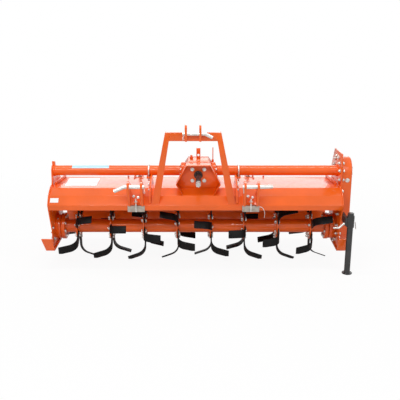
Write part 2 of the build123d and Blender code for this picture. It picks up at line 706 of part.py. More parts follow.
# ---------------------------------------------------------------- skids and stand
def skid_left():
    """Left skid: a flat sole under the side plate, with a flared nose turned up in front."""
    line = [(SOLE_REAR, SOLE_Z), (SOLE_FOLD, SOLE_Z), NOSE_TOP]
    band = sheet(line, -SOLE_THICK, -SOLE_OUT - NOSE_FLARE, -SOLE_IN, bend=10.0)
    high = NOSE_TOP[1] + 30
    wide = -SOLE_OUT - NOSE_FLARE
    outline = [(-SOLE_OUT, SOLE_Z - 1), (-SOLE_OUT, SOLE_Z + SOLE_THICK), (wide, NOSE_TOP[1]), (wide, high),
               (-SOLE_IN, high), (-SOLE_IN, SOLE_Z - 1)]
    return band & front_prism(outline, NOSE_TOP[0] - 30, SOLE_REAR)


def stand_sleeve():
    """Sleeve for the parking stand, welded to an arm from the right side plate."""
    outer = LEG_RADIUS + FIT_GAP + SLEEVE_WALL
    sleeve = z_bar(outer, STAND_X, STAND_Y, SLEEVE_LOW, SLEEVE_HIGH)
    plate_face = PLATE_IN + PLATE_THICK
    arm_z0 = SLEEVE_LOW + 12
    arm_z1 = SLEEVE_HIGH - 14
    arm = box(plate_face, plate_face + 20, STAND_Y - 12, -196, arm_z0, arm_z1)
    arm += box(plate_face, STAND_X, STAND_Y - 12, STAND_Y + 12, arm_z0, arm_z1)
    body = sleeve + arm
    body -= z_bar(LEG_RADIUS + FIT_GAP, STAND_X, STAND_Y, SLEEVE_LOW, SLEEVE_HIGH)
    inner = LEG_RADIUS + FIT_GAP
    hole = x_bar(LOCK_RADIUS + RUN_GAP, STAND_X - outer - 20, STAND_X - inner, STAND_Y, LOCK_Z)
    return body - hole


def stand_leg():
    """Stand tube with its foot disc."""
    tube = z_bar(LEG_RADIUS, STAND_X, STAND_Y, FOOT_THICK, LEG_TOP)
    tube -= z_bar(LEG_RADIUS - LEG_WALL, STAND_X, STAND_Y, FOOT_THICK, LEG_TOP - 6)
    foot = z_bar(FOOT_RADIUS, STAND_X, STAND_Y, 0, FOOT_THICK)
    return tube + fillet(foot.edges().sort_by(Axis.Z)[-1], 4.0)


def stand_lock_pin():
    """Cranked lock pin seated in the sleeve's wall and arm."""
    x_end = STAND_X - LEG_RADIUS - FIT_GAP - 0.6
    crank = x_end - LOCK_SHANK
    points = [(x_end, STAND_Y, LOCK_Z), (crank, STAND_Y, LOCK_Z),
              (crank - LOCK_DROP, STAND_Y, LOCK_Z - LOCK_DROP),
              (crank - LOCK_DROP - LOCK_GRIP, STAND_Y, LOCK_Z - LOCK_DROP)]
    return bent_rod(points, LOCK_RADIUS, 12)


# ---------------------------------------------------------------- rear board
def knuckle_centres():
    spread = 2 * BOARD_HALF / KNUCKLE_COUNT
    return [-BOARD_HALF + spread * (k + 0.5) for k in range(KNUCKLE_COUNT)]


def lug_centres():
    spread = 2 * BOARD_HALF / KNUCKLE_COUNT
    return [-BOARD_HALF + spread * k for k in range(1, KNUCKLE_COUNT)]


def board_outer_y(z):
    """Where the board's rear face stands at a height in its upper panel."""
    (y0, z0), (y1, z1) = BOARD_LINE[:2]
    return y0 + (y1 - y0) * (z0 - z) / (z0 - z1) + BOARD_THICK


def rear_board():
    """Levelling board behind the rotor, with hinge knuckles and lugs for the adjuster rods."""
    board = sheet(BOARD_LINE, BOARD_THICK, -BOARD_HALF, BOARD_HALF, bend=40.0)
    hinge_y, hinge_z = HINGE
    for x in knuckle_centres():
        x0 = x - KNUCKLE_LENGTH / 2
        x1 = x + KNUCKLE_LENGTH / 2
        top = BOARD_LINE[0]
        tab = side_prism([(hinge_y - 4, hinge_z - KNUCKLE_RADIUS + 2), (top[0] + 2, top[1] - 20),
                          (top[0] + 12, top[1] - 16), (hinge_y + KNUCKLE_RADIUS - 1, hinge_z)], x0, x1)
        board += tab + x_bar(KNUCKLE_RADIUS, x0, x1, *HINGE)
        board -= x_bar(HINGE_ROD_RADIUS + RUN_GAP, x0, x1, *HINGE)
    for x in lug_centres():
        notch = LUG_THICK / 2 + LUG_GAP
        board -= box(x - notch, x + notch, hinge_y, hinge_y + 60, hinge_z - 50, hinge_z + 30)
    for side in (-1, 1):
        for cheek in (-1, 1):
            near = HITCH_X + side * ROD_X + cheek * FORK_GAP / 2
            board += rod_lug(min(near, near + cheek * FORK_THICK))
    return board


def rod_lug(x0):
    """One lug on the board's rear face for an adjuster rod's pin, from x0."""
    foot_y, foot_z = ROD_FOOT
    root = board_outer_y(foot_z)
    outline = [(root - 10, foot_z + 34), (root + 8, foot_z - 44), (foot_y + 8, foot_z - 14),
               (foot_y + 14, foot_z), (foot_y + 8, foot_z + 14)]
    lug = side_prism(outline, x0, x0 + FORK_THICK)
    return lug - x_bar(ROD_PIN_RADIUS + RUN_GAP, x0, x0 + FORK_THICK, *ROD_FOOT)


def board_hinge():
    """The rod that the rear board hangs on, with the lugs that carry it from the deck."""
    y, z = HINGE
    rear_y, rear_z = DECK_REAR
    outline = [(rear_y - 70, rear_z + 36), (rear_y + 4, rear_z + 8), (y + 10, z + 14), (y + 18, z),
               (y + 8, z - 16), (y - 22, z - 14), (rear_y, rear_z - 20)]
    hinge = x_bar(HINGE_ROD_RADIUS, -PLATE_IN, PLATE_IN, *HINGE)
    for x in lug_centres():
        hinge += side_prism(outline, x - LUG_THICK / 2, x + LUG_THICK / 2) - under_deck()
    return hinge


def rod_slope():
    """The adjuster rod's length from pin to eye and its angle above +Y, in degrees."""
    dy = ROD_EYE[0] - ROD_FOOT[0]
    dz = ROD_EYE[1] - ROD_FOOT[1]
    return math.hypot(dy, dz), math.degrees(math.atan2(dz, dy))


def along_rod(shape, side):
    """Stands a shape made along +Z from the rod's pin at its place on one side."""
    angle = rod_slope()[1]
    return Pos(HITCH_X + side * ROD_X, *ROD_FOOT) * Rot(angle - 90, 0, 0) * shape


def spring_low():
    """How far up the rod the spring's lower end stands."""
    return rod_slope()[0] - SPRING_GAP - SPRING_LENGTH


def adjuster_rod(side):
    """Rod from the board's lug up through its eye, with an end eye and stop collars."""
    top = rod_slope()[0] + ROD_PAST_EYE
    rod = z_bar(ROD_RADIUS, 0, 0, 0, top)
    rod += x_bar(ROD_EYE_RADIUS, -ROD_RADIUS - 2, ROD_RADIUS + 2, 0, 0)
    rod += z_bar(SPRING_RADIUS, 0, 0, spring_low() - 8, spring_low())
    rod += z_bar(ROD_NUT_RADIUS, 0, 0, top - 15, top - 3)
    pin = FORK_GAP / 2 + FORK_THICK + 4
    return along_rod(rod + x_bar(ROD_PIN_RADIUS, -pin, pin, 0, 0), side)


def rod_spring(side):
    """Envelope of the pressure spring on an adjuster rod."""
    low = spring_low()
    ring = z_bar(SPRING_RADIUS - 1, 0, 0, low, low + SPRING_LENGTH)
    return along_rod(ring - z_bar(ROD_RADIUS, 0, 0, low, low + SPRING_LENGTH), side)


def trunnion_bracket(side):
    """Two cheeks on the deck with the eye that an adjuster rod slides through."""
    x = HITCH_X + side * ROD_X
    eye_y, eye_z = ROD_EYE
    root_y = DECK_TOP_REAR[0] - 70
    outline = [(root_y, DECK_TOP - 20), (root_y, DECK_TOP + 4), (eye_y - 16, eye_z + 14),
               (eye_y + 14, eye_z + 12), (eye_y + 18, eye_z - 14), (DECK_REAR[0] - 4, DECK_REAR[1] - 12)]
    bracket = Pos(0, 0, rod_slope()[0]) * Box(*EYE_BLOCK)
    bracket -= Pos(0, 0, rod_slope()[0]) * Cylinder(ROD_RADIUS + ROD_SLACK, 40)
    bracket = along_rod(bracket, side)
    for end in (-1, 1):
        near = x + end * EYE_BLOCK[0] / 2
        x0 = min(near, near + end * CHEEK_THICK)
        bracket += side_prism(outline, x0, x0 + CHEEK_THICK)
    return bracket - under_deck()


# ---------------------------------------------------------------- the whole machine
def build():
    """All nodes by name, each one shape or a list of separate solids."""
    leg_left = mast_leg()
    leg_right = hitch_mirrored(leg_left)
    bracket_left = lower_bracket()
    pin_left = lower_pin(-6.0, -30.0)
    pin_right = hitch_mirrored(lower_pin(30.0, -6.0))
    clamp_left = deck_clamp()
    u_bolt_left = beam_clamp()
    head_left = headstock()
    skid = skid_left()
    nodes = {
        "beam_left": beam_left(),
        "beam_right": beam_right(),
        "side_plate_left": side_plate_left(),
        "side_plate_right": side_plate_right(),
        "side_gear_case": gear_case(),
        "deck": deck(),
        "deck_front_rail": deck_front_rail(),
        "deck_end_strips": [deck_end_strip(), mirrored(deck_end_strip())],
        "gearbox": gearbox(),
        "gearbox_front_plate": front_plate(),
        "input_seal_cap": input_cap(),
        "pto_cowl": pto_cowl(),
        "gearbox_fittings": gearbox_fittings() + [dipstick()],
        "mast_leg_left": leg_left,
        "mast_leg_right": leg_right,
        "mast_crossbar": mast_crossbar([leg_left, leg_right]),
        "top_link_ears": top_link_ears(),
        "headstock_left": head_left,
        "headstock_right": hitch_mirrored(head_left),
        "beam_clamps": [u_bolt_left, hitch_mirrored(u_bolt_left)],
        "lower_link_bracket_left": bracket_left,
        "lower_link_bracket_right": hitch_mirrored(bracket_left),
        "deck_clamp_plates": [clamp_left, hitch_mirrored(clamp_left)],
        "hitch_pins": [top_pin(), pin_left, pin_right],
        "bearing_hub_left": bearing_hub(-PLATE_IN, -PLATE_IN + HUB_LEFT_WIDTH),
        "bearing_hub_right": bearing_hub(PLATE_IN - HUB_RIGHT_WIDTH, PLATE_IN),
        "skid_left": skid,
        "skid_right": mirrored(skid),
        "board_hinge": board_hinge(),
        "trunnion_brackets": [trunnion_bracket(-1), trunnion_bracket(1)],
        "stand_sleeve": stand_sleeve(),
        "stand_lock_pin": stand_lock_pin(),
        "rotor_tube": rotor_tube(),
        "pto_shaft": pto_shaft(),
        "rear_board": rear_board(),
        "adjuster_rod_left": adjuster_rod(-1),
        "adjuster_rod_right": adjuster_rod(1),
        "rod_spring_left": rod_spring(-1),
        "rod_spring_right": rod_spring(1),
        "stand_leg": stand_leg(),
    }
    for index in range(FLANGE_COUNT):
        nodes["blades_" + str(index + 1)] = blade_set(index)
    return nodes


def solids_of(shape):
    """One shape with all of a node's solids."""
    parts = shape if isinstance(shape, list) else [shape]
    solids = [solid for part in parts for solid in part.solids()]
    return solids[0] if len(solids) == 1 else Compound(children=solids)


nodes = {name: solids_of(shape) for name, shape in build().items()}
boxes = [shape.bounding_box() for shape in nodes.values()]
low_x = min(b.min.X for b in boxes)
high_x = max(b.max.X for b in boxes)
low_y = min(b.min.Y for b in boxes)
high_y = max(b.max.Y for b in boxes)
low_z = min(b.min.Z for b in boxes)

# The origin is the middle of the machine's base.
SHIFT = (-(low_x + high_x) / 2, -(low_y + high_y) / 2, -low_z)

os.makedirs("parts", exist_ok=True)
for name, shape in nodes.items():
    export_step(Pos(*SHIFT) * shape, "parts/" + name + ".step")
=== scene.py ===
"""Finishes, fasteners and small fittings for the full-width rotary tiller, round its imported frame."""

import json
import math

import bmesh
import bpy
from mathutils import Matrix, Vector

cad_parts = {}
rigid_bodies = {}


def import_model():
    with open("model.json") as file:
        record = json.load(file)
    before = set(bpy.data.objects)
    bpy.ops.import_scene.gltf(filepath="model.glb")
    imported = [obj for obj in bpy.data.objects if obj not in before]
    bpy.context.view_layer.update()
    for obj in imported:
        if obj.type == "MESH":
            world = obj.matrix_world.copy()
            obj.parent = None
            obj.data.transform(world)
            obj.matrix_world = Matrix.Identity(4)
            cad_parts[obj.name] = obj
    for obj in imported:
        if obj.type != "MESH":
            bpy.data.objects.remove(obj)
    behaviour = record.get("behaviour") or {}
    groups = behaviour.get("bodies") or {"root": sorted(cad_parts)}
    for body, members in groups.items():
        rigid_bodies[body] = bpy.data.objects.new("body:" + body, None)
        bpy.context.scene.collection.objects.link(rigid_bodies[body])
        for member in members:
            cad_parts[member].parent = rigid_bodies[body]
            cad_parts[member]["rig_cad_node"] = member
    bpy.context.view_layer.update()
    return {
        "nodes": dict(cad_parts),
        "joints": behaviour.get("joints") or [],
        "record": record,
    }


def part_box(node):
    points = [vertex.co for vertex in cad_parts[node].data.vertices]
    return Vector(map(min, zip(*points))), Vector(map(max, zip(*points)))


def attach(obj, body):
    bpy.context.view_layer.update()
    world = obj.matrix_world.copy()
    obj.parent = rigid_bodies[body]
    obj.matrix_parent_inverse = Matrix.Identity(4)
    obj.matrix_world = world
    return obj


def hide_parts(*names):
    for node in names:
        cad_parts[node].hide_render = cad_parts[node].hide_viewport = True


bl_info = {
    "name": "Rotary tiller dresser",
    "version": (1, 0, 0),
    "blender": (4, 5, 0),
    "location": "View3D > Sidebar > Tiller",
    "description": "Paints the tiller's steelwork and adds its bolts, welds, springs, clips and labels",
    "category": "Object",
}

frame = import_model()
NODES = frame["nodes"]
JOINTS = {joint["name"]: joint for joint in frame["joints"]}
NODE_BODY = {node: body for body, nodes in frame["record"]["behaviour"]["bodies"].items() for node in nodes}
NODE_SLOT = {part["node"]: part["material_slot"] for part in frame["record"]["subparts"]}
MOUNTS = {mount["name"]: Vector(mount["pos_m"]) for mount in frame["record"]["mounts"]}
FLANGES = sorted((node for node in NODES if node.startswith("blades_")), key=lambda node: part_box(node)[0].x)


# ---------------------------------------------------------------- places read from the frame
def low(node):
    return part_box(node)[0]


def high(node):
    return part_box(node)[1]


def middle(node):
    return (low(node) + high(node)) / 2


ROTOR_AXIS = Vector(JOINTS["rotor_spin"]["pos_m"])
BOARD_AXIS = Vector(JOINTS["board_hinge_turn"]["pos_m"])
BEAM_AXIS = middle("beam_left")
HITCH_X = middle("mast_crossbar").x
INPUT_AXIS = middle("pto_shaft")
PLATE_LEFT_OUT = low("side_plate_left").x
PLATE_RIGHT_IN = low("side_plate_right").x
DECK_FOLD = Vector((0, low("deck").y, 0))
GUSSET_FACES = (low("headstock_left").x + 0.030, high("headstock_right").x - 0.030)
LINK_BRACKETS = ("lower_link_bracket_left", "lower_link_bracket_right")

LEFT = (-1, 0, 0)
RIGHT = (1, 0, 0)
FRONT = (0, -1, 0)
BACK = (0, 1, 0)

# Sizes of the steelwork that a box doesn't give
BEAM_RADIUS = 0.0385
BEAM_RING = 0.012
TUBE_RADIUS = 0.0515
PLATE_THICK = 0.008
CASE_LIP = 0.012

# How far a bead's middle stands off a face, and how near points are merged
BEAD_SHIFT = 0.001
MERGE_DISTANCE = 0.00001


# ---------------------------------------------------------------- settings
def colour_setting(name, description, default):
    return bpy.props.FloatVectorProperty(
        name=name, description=description, subtype="COLOR", size=3, min=0, max=1, default=default)


def share_setting(name, description, default, lowest=0.0, highest=1.0):
    return bpy.props.FloatProperty(
        name=name, description=description, subtype="FACTOR", min=lowest, max=highest, default=default)


def length_setting(name, description, default):
    return bpy.props.FloatProperty(
        name=name, description=description, unit="LENGTH", subtype="DISTANCE", default=default)


def angle_setting(name, description, default):
    return bpy.props.FloatProperty(name=name, description=description, subtype="ANGLE", default=default)


class TillerFinish(bpy.types.PropertyGroup):
    """Colours and gloss of the finishes"""

    paint: colour_setting("Paint", "Colour of the gloss machine enamel", (0.88, 0.124, 0.004))
    paint_roughness: share_setting("Paint roughness", "Roughness under the clear gloss", 0.34)
    paint_coat: share_setting("Paint gloss", "Weight of the gloss layer", 0.55)
    orange_peel: share_setting("Orange peel", "Strength of the enamel's fine waviness", 0.05)
    black: colour_setting("Black paint", "Colour of the black enamel", (0.02, 0.019, 0.019))
    forged: colour_setting("Blade black", "Colour of the dipped blades", (0.007, 0.007, 0.007))
    spring: colour_setting("Spring black", "Colour of the coil springs", (0.03, 0.03, 0.033))
    zinc: colour_setting("Zinc", "Colour of the plated bolts and pins", (0.74, 0.73, 0.69))
    bright: colour_setting("Bright steel", "Colour of the input shaft's splines", (0.62, 0.61, 0.59))
    bare: colour_setting("Bare plate", "Colour of the unpainted clamp plates", (0.46, 0.41, 0.35))
    label: colour_setting("Label", "Colour of the blank labels", (0.9, 0.9, 0.9))
    label_blue: colour_setting("Pale blue label", "Colour of the beam's blank label", (0.50, 0.76, 0.86))


class TillerFasteners(bpy.types.PropertyGroup):
    """Sizes of the bolts, welds and wires"""

    large: length_setting("Large bolt", "Half the width across the corners of the large heads", 0.0115)
    small: length_setting("Small bolt", "Half the width across the corners of the small heads", 0.0085)
    head_share: share_setting("Head height", "Height of a head as a share of its half width", 0.7, 0.2, 1.5)
    weld: length_setting("Weld", "Radius of the weld beads", 0.0035)
    clip_wire: length_setting("Clip wire", "Radius of the wire that the clips are bent from", 0.002)
    ear: length_setting("Ear", "Thickness of the hitch ears", 0.015)
    edge: length_setting("Plate edge", "Rounding of cut plate edges", 0.0012)


class TillerRotor(bpy.types.PropertyGroup):
    """How the blades stand on their flanges"""

    first_tip: angle_setting(
        "First tip", "Angle of the first flange's first tip above the front", math.radians(31))
    helix_step: angle_setting("Helix step", "Turn from each flange to the next", math.radians(-120 / 7))
    shank_lead: angle_setting("Shank lead", "Angle from a blade's tip to its shank", math.atan2(38, 256))
    blades_each: bpy.props.IntProperty(
        name="Blades", description="Blades on each flange, of both hands together", min=2, default=6)
    blade_thick: length_setting("Blade", "Thickness of a blade and of its flange", 0.008)
    bolt_inner: length_setting("Inner bolt circle", "Radius of the inner blade bolts", 0.069)
    bolt_outer: length_setting("Outer bolt circle", "Radius of the outer blade bolts", 0.089)


class TillerDeck(bpy.types.PropertyGroup):
    """Where the deck's folds lie, counted from its front edge"""

    lip: length_setting("Lip", "Depth of the front lip", 0.038)
    crease_back: length_setting("Crease back", "First crease behind the front fold", 0.044)
    crease_up: length_setting("Crease up", "First crease above the front fold", 0.060)
    shoulder_back: length_setting("Shoulder back", "Start of the flat top, behind the front fold", 0.124)


class TillerStage(bpy.types.PropertyGroup):
    """Camera, floor and surround"""

    elevation: angle_setting("Elevation", "Camera angle above the floor", math.radians(17.5))
    distance: length_setting("Distance", "Camera distance from its aim", 5.007)
    lens: bpy.props.FloatProperty(
        name="Lens", description="Focal length on a 36 mm sensor", subtype="DISTANCE_CAMERA", default=59.4)
    aim_height: length_setting("Aim height", "Height of the camera's aim", 0.461)
    aim_side: length_setting("Aim side", "Camera's aim to the right of the hitch", 0.047)
    surround: bpy.props.FloatProperty(
        name="Surround", description="Strength of the white surround as a light", default=0.4, min=0)
    floor_half: length_setting("Floor", "Half the floor's width", 14.0)


# ---------------------------------------------------------------- modelling helpers
def deselect():
    if bpy.context.object and bpy.context.object.mode != "OBJECT":
        bpy.ops.object.mode_set(mode="OBJECT")
    bpy.ops.object.select_all(action="DESELECT")


def choose(*objects):
    """Selects just these objects, the first one active."""
    deselect()
    for one in objects:
        one.select_set(True)
    bpy.context.view_layer.objects.active = objects[0]
    return objects[0]


def opened(piece, action):
    """Opens a piece in edit mode, with all of it selected or none."""
    choose(piece)
    bpy.ops.object.mode_set(mode="EDIT")
    bpy.ops.mesh.select_all(action=action)


def closed():
    bpy.ops.object.mode_set(mode="OBJECT")


def settle(piece):
    """Puts a piece's place into its mesh."""
    choose(piece)
    bpy.ops.object.transform_apply(location=True, rotation=True, scale=True)
    return piece


def smooth(piece, degrees=32):
    choose(piece)
    bpy.ops.object.shade_smooth_by_angle(angle=math.radians(degrees))
    return piece


def modified(piece, kind, **settings):
    """Adds a modifier, sets it and applies it."""
    choose(piece)
    modifier = piece.modifiers.new(kind.title(), kind)
    for name, value in settings.items():
        setattr(modifier, name, value)
    bpy.ops.object.modifier_apply(modifier=modifier.name)
    return piece


def rounded(piece, width, segments=2, degrees=32):
    return modified(piece, "BEVEL", width=width, segments=segments, limit_method="ANGLE",
                    angle_limit=math.radians(degrees), use_clamp_overlap=True)


def joined(pieces):
    first = choose(*pieces)
    if len(pieces) > 1:
        bpy.ops.object.join()
    return first


def cylinder(radius, z0, z1, vertices=32):
    """A disc or bar standing along +Z."""
    deselect()
    bpy.ops.mesh.primitive_cylinder_add(vertices=vertices, radius=radius, depth=z1 - z0,
                                        location=(0, 0, (z0 + z1) / 2))
    return settle(bpy.context.object)


def block(lowest, highest):
    """A block between two corners."""
    deselect()
    lowest = Vector(lowest)
    highest = Vector(highest)
    bpy.ops.mesh.primitive_cube_add(size=1, location=(lowest + highest) / 2, scale=highest - lowest)
    return settle(bpy.context.object)


def turned(piece, place, direction, spin=0.0):
    """Moves a piece made along +Z so that it stands at a place and points in a direction."""
    turn = Vector(direction).to_track_quat("Z", "Y").to_matrix().to_4x4()
    piece.data.transform(Matrix.Translation(place) @ turn @ Matrix.Rotation(spin, 4, "Z"))
    return piece


def stamped(master, places):
    """A copy of a master for each (place, direction), each spun a little further, all as one piece."""
    copies = []
    for index, (place, direction) in enumerate(places):
        copy = master.copy()
        copy.data = master.data.copy()
        bpy.context.scene.collection.objects.link(copy)
        copies.append(turned(copy, place, direction, spin=index * 0.7))
    return joined(copies)


def removed(*pieces):
    for piece in pieces:
        bpy.data.objects.remove(piece)


def bolt_master(radius, stud=False):
    """A hex head or nut on its washer, standing on z = 0; a stud shows through a nut."""
    washer_wide, washer_thick, stud_wide, stud_long = 1.24, 0.2, 0.5, 1.7
    height = radius * bpy.context.scene.tiller_fasteners.head_share
    seat = radius * washer_thick
    parts = [rounded(cylinder(radius * washer_wide, 0, seat, 24), radius * 0.05, 1),
             rounded(cylinder(radius, seat, seat + height, 6), radius * 0.1, 2, 25)]
    if stud:
        tip = cylinder(radius * stud_wide, seat, seat + height * stud_long, 14)
        parts.append(rounded(tip, radius * 0.08, 1))
    return smooth(joined(parts))


def stepped(steps):
    """Rounded discs stacked along +Z, one for each (radius, from, to, sides, rounding, segments)."""
    discs = [rounded(cylinder(radius, start, end, sides), rounding, segments)
             for radius, start, end, sides, rounding, segments in steps]
    return smooth(joined(discs))


def circle_places(centre, radius, count, x, direction, first=0.0):
    """Places on a circle round a line along X."""
    places = []
    for index in range(count):
        angle = first + math.tau * index / count
        place = Vector((x, centre.y + radius * math.cos(angle), centre.z + radius * math.sin(angle)))
        places.append((place, direction))
    return places


def wire(points, radius, order=3, resolution=6):
    """A smooth round wire through a few points, as a mesh."""
    deselect()
    bpy.ops.curve.primitive_nurbs_path_add()
    curve = bpy.context.object
    curve.data.splines.clear()
    spline = curve.data.splines.new("NURBS")
    spline.points.add(len(points) - 1)
    for point, place in zip(spline.points, points):
        point.co = (*place, 1)
    spline.use_endpoint_u = True
    spline.order_u = order
    spline.resolution_u = resolution
    curve.data.bevel_depth = radius
    curve.data.bevel_resolution = 3
    curve.data.use_fill_caps = True
    curve.location = (0, 0, 0)
    choose(curve)
    bpy.ops.object.convert(target="MESH")
    return smooth(settle(bpy.context.object), 50)


def finished(piece, name, body, slot):
    """Names a piece, paints it in its slot's finish and makes it ride on its body."""
    piece.name = name
    piece.data.materials.clear()
    piece.data.materials.append(finish_of(slot))
    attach(piece, body)


def painted(piece, name, body="frame"):
    finished(piece, name, body, "orange_paint")


def fastened(master, places, name, body="frame"):
    """Many copies of a bolt, nut or clip, as one plated piece."""
    finished(stamped(master, places), name, body, "zinc")


# ---------------------------------------------------------------- finishes
def set_inputs(node, values):
    for socket, value in values.items():
        node.inputs[socket].default_value = value


def either_shader(tree, share, first, second, output):
    """Shows the second shader by a share, and otherwise the first."""
    mix = tree.nodes.new("ShaderNodeMixShader")
    tree.links.new(share, mix.inputs["Fac"])
    tree.links.new(first, mix.inputs[1])
    tree.links.new(second, mix.inputs[2])
    tree.links.new(mix.outputs["Shader"], tree.nodes[output].inputs["Surface"])


def shade(colour, factor):
    return (*(min(1.0, channel * factor) for channel in colour), 1)


class Finish:
    """A new material, whose patterns lie on the object's own coordinates"""

    def __init__(self, name):
        self.material = bpy.data.materials.new(name)
        self.material.use_nodes = True
        self.tree = self.material.node_tree
        self.add = self.tree.nodes.new
        self.link = self.tree.links.new
        self.shader = self.tree.nodes["Principled BSDF"]
        self.where = self.add("ShaderNodeTexCoord").outputs["Object"]

    def noise(self, scale, detail=3.0, rough=0.5):
        texture = self.add("ShaderNodeTexNoise")
        set_inputs(texture, {"Scale": scale, "Detail": detail, "Roughness": rough})
        self.link(self.where, texture.inputs["Vector"])
        return texture.outputs["Fac"]

    def spread(self, value, low_value, high_value, from_low=0.3, from_high=0.7):
        """Carries a pattern's values from one range to another."""
        mapping = self.add("ShaderNodeMapRange")
        set_inputs(mapping, {"From Min": from_low, "From Max": from_high,
                             "To Min": low_value, "To Max": high_value})
        self.link(value, mapping.inputs["Value"])
        return mapping.outputs["Result"]

    def tone(self, pattern, colour, dark, light, *ends):
        """Lets a pattern carry the colour from a dark shade to a light one."""
        share = self.spread(pattern, 0.0, 1.0, *ends)
        mix = self.add("ShaderNodeMix")
        mix.data_type = "RGBA"
        self.link(share, mix.inputs["Factor"])
        set_inputs(mix, {"A": shade(colour, dark), "B": shade(colour, light)})
        self.link(mix.outputs["Result"], self.shader.inputs["Base Color"])

    def roughen(self, pattern, low_value, high_value):
        self.link(self.spread(pattern, low_value, high_value), self.shader.inputs["Roughness"])

    def bump(self, height, strength, distance):
        bump = self.add("ShaderNodeBump")
        set_inputs(bump, {"Strength": strength, "Distance": distance})
        self.link(height, bump.inputs["Height"])
        self.link(bump.outputs["Normal"], self.shader.inputs["Normal"])


def gloss_enamel(colours):
    enamel = Finish("orange machine enamel")
    enamel.tone(enamel.noise(5.0, 4.0), colours.paint, 0.93, 1.04, 0.35, 0.65)
    roughness = colours.paint_roughness
    enamel.roughen(enamel.noise(38.0, 5.0, 0.6), roughness - 0.06, roughness + 0.08)
    set_inputs(enamel.shader, {"Coat Weight": colours.paint_coat, "Coat Roughness": 0.09,
                               "Specular IOR Level": 0.25})
    enamel.bump(enamel.noise(260.0, 2.0), colours.orange_peel, 0.001)
    return enamel.material


def black_finish(name, colour, roughness, grain, strength, coat, glint=0.5):
    black = Finish(name)
    black.tone(black.noise(14.0, 4.0), colour, 0.8, 1.5)
    black.roughen(black.noise(60.0), roughness - 0.07, roughness + 0.1)
    set_inputs(black.shader, {"Coat Weight": coat, "Coat Roughness": 0.25, "Specular IOR Level": glint})
    black.bump(black.noise(grain, 4.0), strength, 0.001)
    return black.material


def metal_finish(name, colour, roughness, grain, strength, metallic=1.0):
    metal = Finish(name)
    cloud = metal.noise(45.0, 4.0)
    metal.tone(cloud, colour, 0.78, 1.1)
    metal.roughen(cloud, roughness + 0.1, roughness - 0.06)
    set_inputs(metal.shader, {"Metallic": metallic})
    metal.bump(metal.noise(grain, 3.0), strength, 0.0006)
    return metal.material


def label_finish(name, colour):
    film = Finish(name)
    film.tone(film.noise(22.0, 3.0), colour, 0.95, 1.0)
    set_inputs(film.shader, {"Roughness": 0.32, "Coat Weight": 0.4})
    film.bump(film.noise(120.0), 0.03, 0.0005)
    return film.material


MAKERS = {
    "orange_paint": gloss_enamel,
    "black_paint": lambda colours: black_finish(
        "stand black enamel", colours.black, 0.38, grain=180.0, strength=0.12, coat=0.25, glint=0.4),
    "black_blade": lambda colours: black_finish(
        "dipped blade black", colours.forged, 0.46, grain=90.0, strength=0.3, coat=0.03, glint=0.11),
    "spring_steel": lambda colours: black_finish(
        "spring black", colours.spring, 0.42, grain=120.0, strength=0.15, coat=0.2),
    "bare_plate": lambda colours: metal_finish(
        "bare clamp plate", colours.bare, 0.5, grain=200.0, strength=0.25, metallic=0.6),
    "zinc": lambda colours: metal_finish("zinc plating", colours.zinc, 0.3, grain=420.0, strength=0.12),
    "bright_shaft": lambda colours: metal_finish(
        "turned bright steel", colours.bright, 0.26, grain=700.0, strength=0.1),
    "white_label": lambda colours: label_finish("blank white label", colours.label),
    "blue_label": lambda colours: label_finish("blank pale blue label", colours.label_blue),
}
MADE = {}


def finish_of(slot):
    """The material of a slot, made once and handed out again after that."""
    if slot not in MADE:
        MADE[slot] = MAKERS[slot](bpy.context.scene.tiller_finish)
    return MADE[slot]


# ---------------------------------------------------------------- operators
EDGED_SLOTS = ("orange_paint", "black_paint", "black_blade", "bare_plate")
EDGE_WIDTHS = {"gearbox": 0.006, "side_gear_case": 0.002, "gearbox_fittings": 0.0015}


class TILLER_OT_steelwork(bpy.types.Operator):
    """Paint every carried-over part, and round the cut edges of the plates and sheets"""

    bl_idname = "tiller.steelwork"
    bl_label = "Painted steelwork"

    def execute(self, context):
        for node, source in NODES.items():
            source.data.materials.clear()
            source.data.materials.append(finish_of(NODE_SLOT[node]))
            if NODE_SLOT[node] in EDGED_SLOTS:
                self.round_edges(context, node, source)
        return {"FINISHED"}

    def round_edges(self, context, node, source):
        width = EDGE_WIDTHS.get(node, context.scene.tiller_fasteners.edge)
        piece = source.copy()
        piece.data = source.data.copy()
        del piece["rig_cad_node"]
        context.scene.collection.objects.link(piece)
        opened(piece, "SELECT")
        bpy.ops.mesh.remove_doubles(threshold=MERGE_DISTANCE)
        bpy.ops.mesh.dissolve_limited(angle_limit=math.radians(0.4))
        closed()
        rounded(piece, width, 2, 28)
        finished(smooth(piece, 40), node + "_finished", NODE_BODY[node], NODE_SLOT[node])
        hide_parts(node)


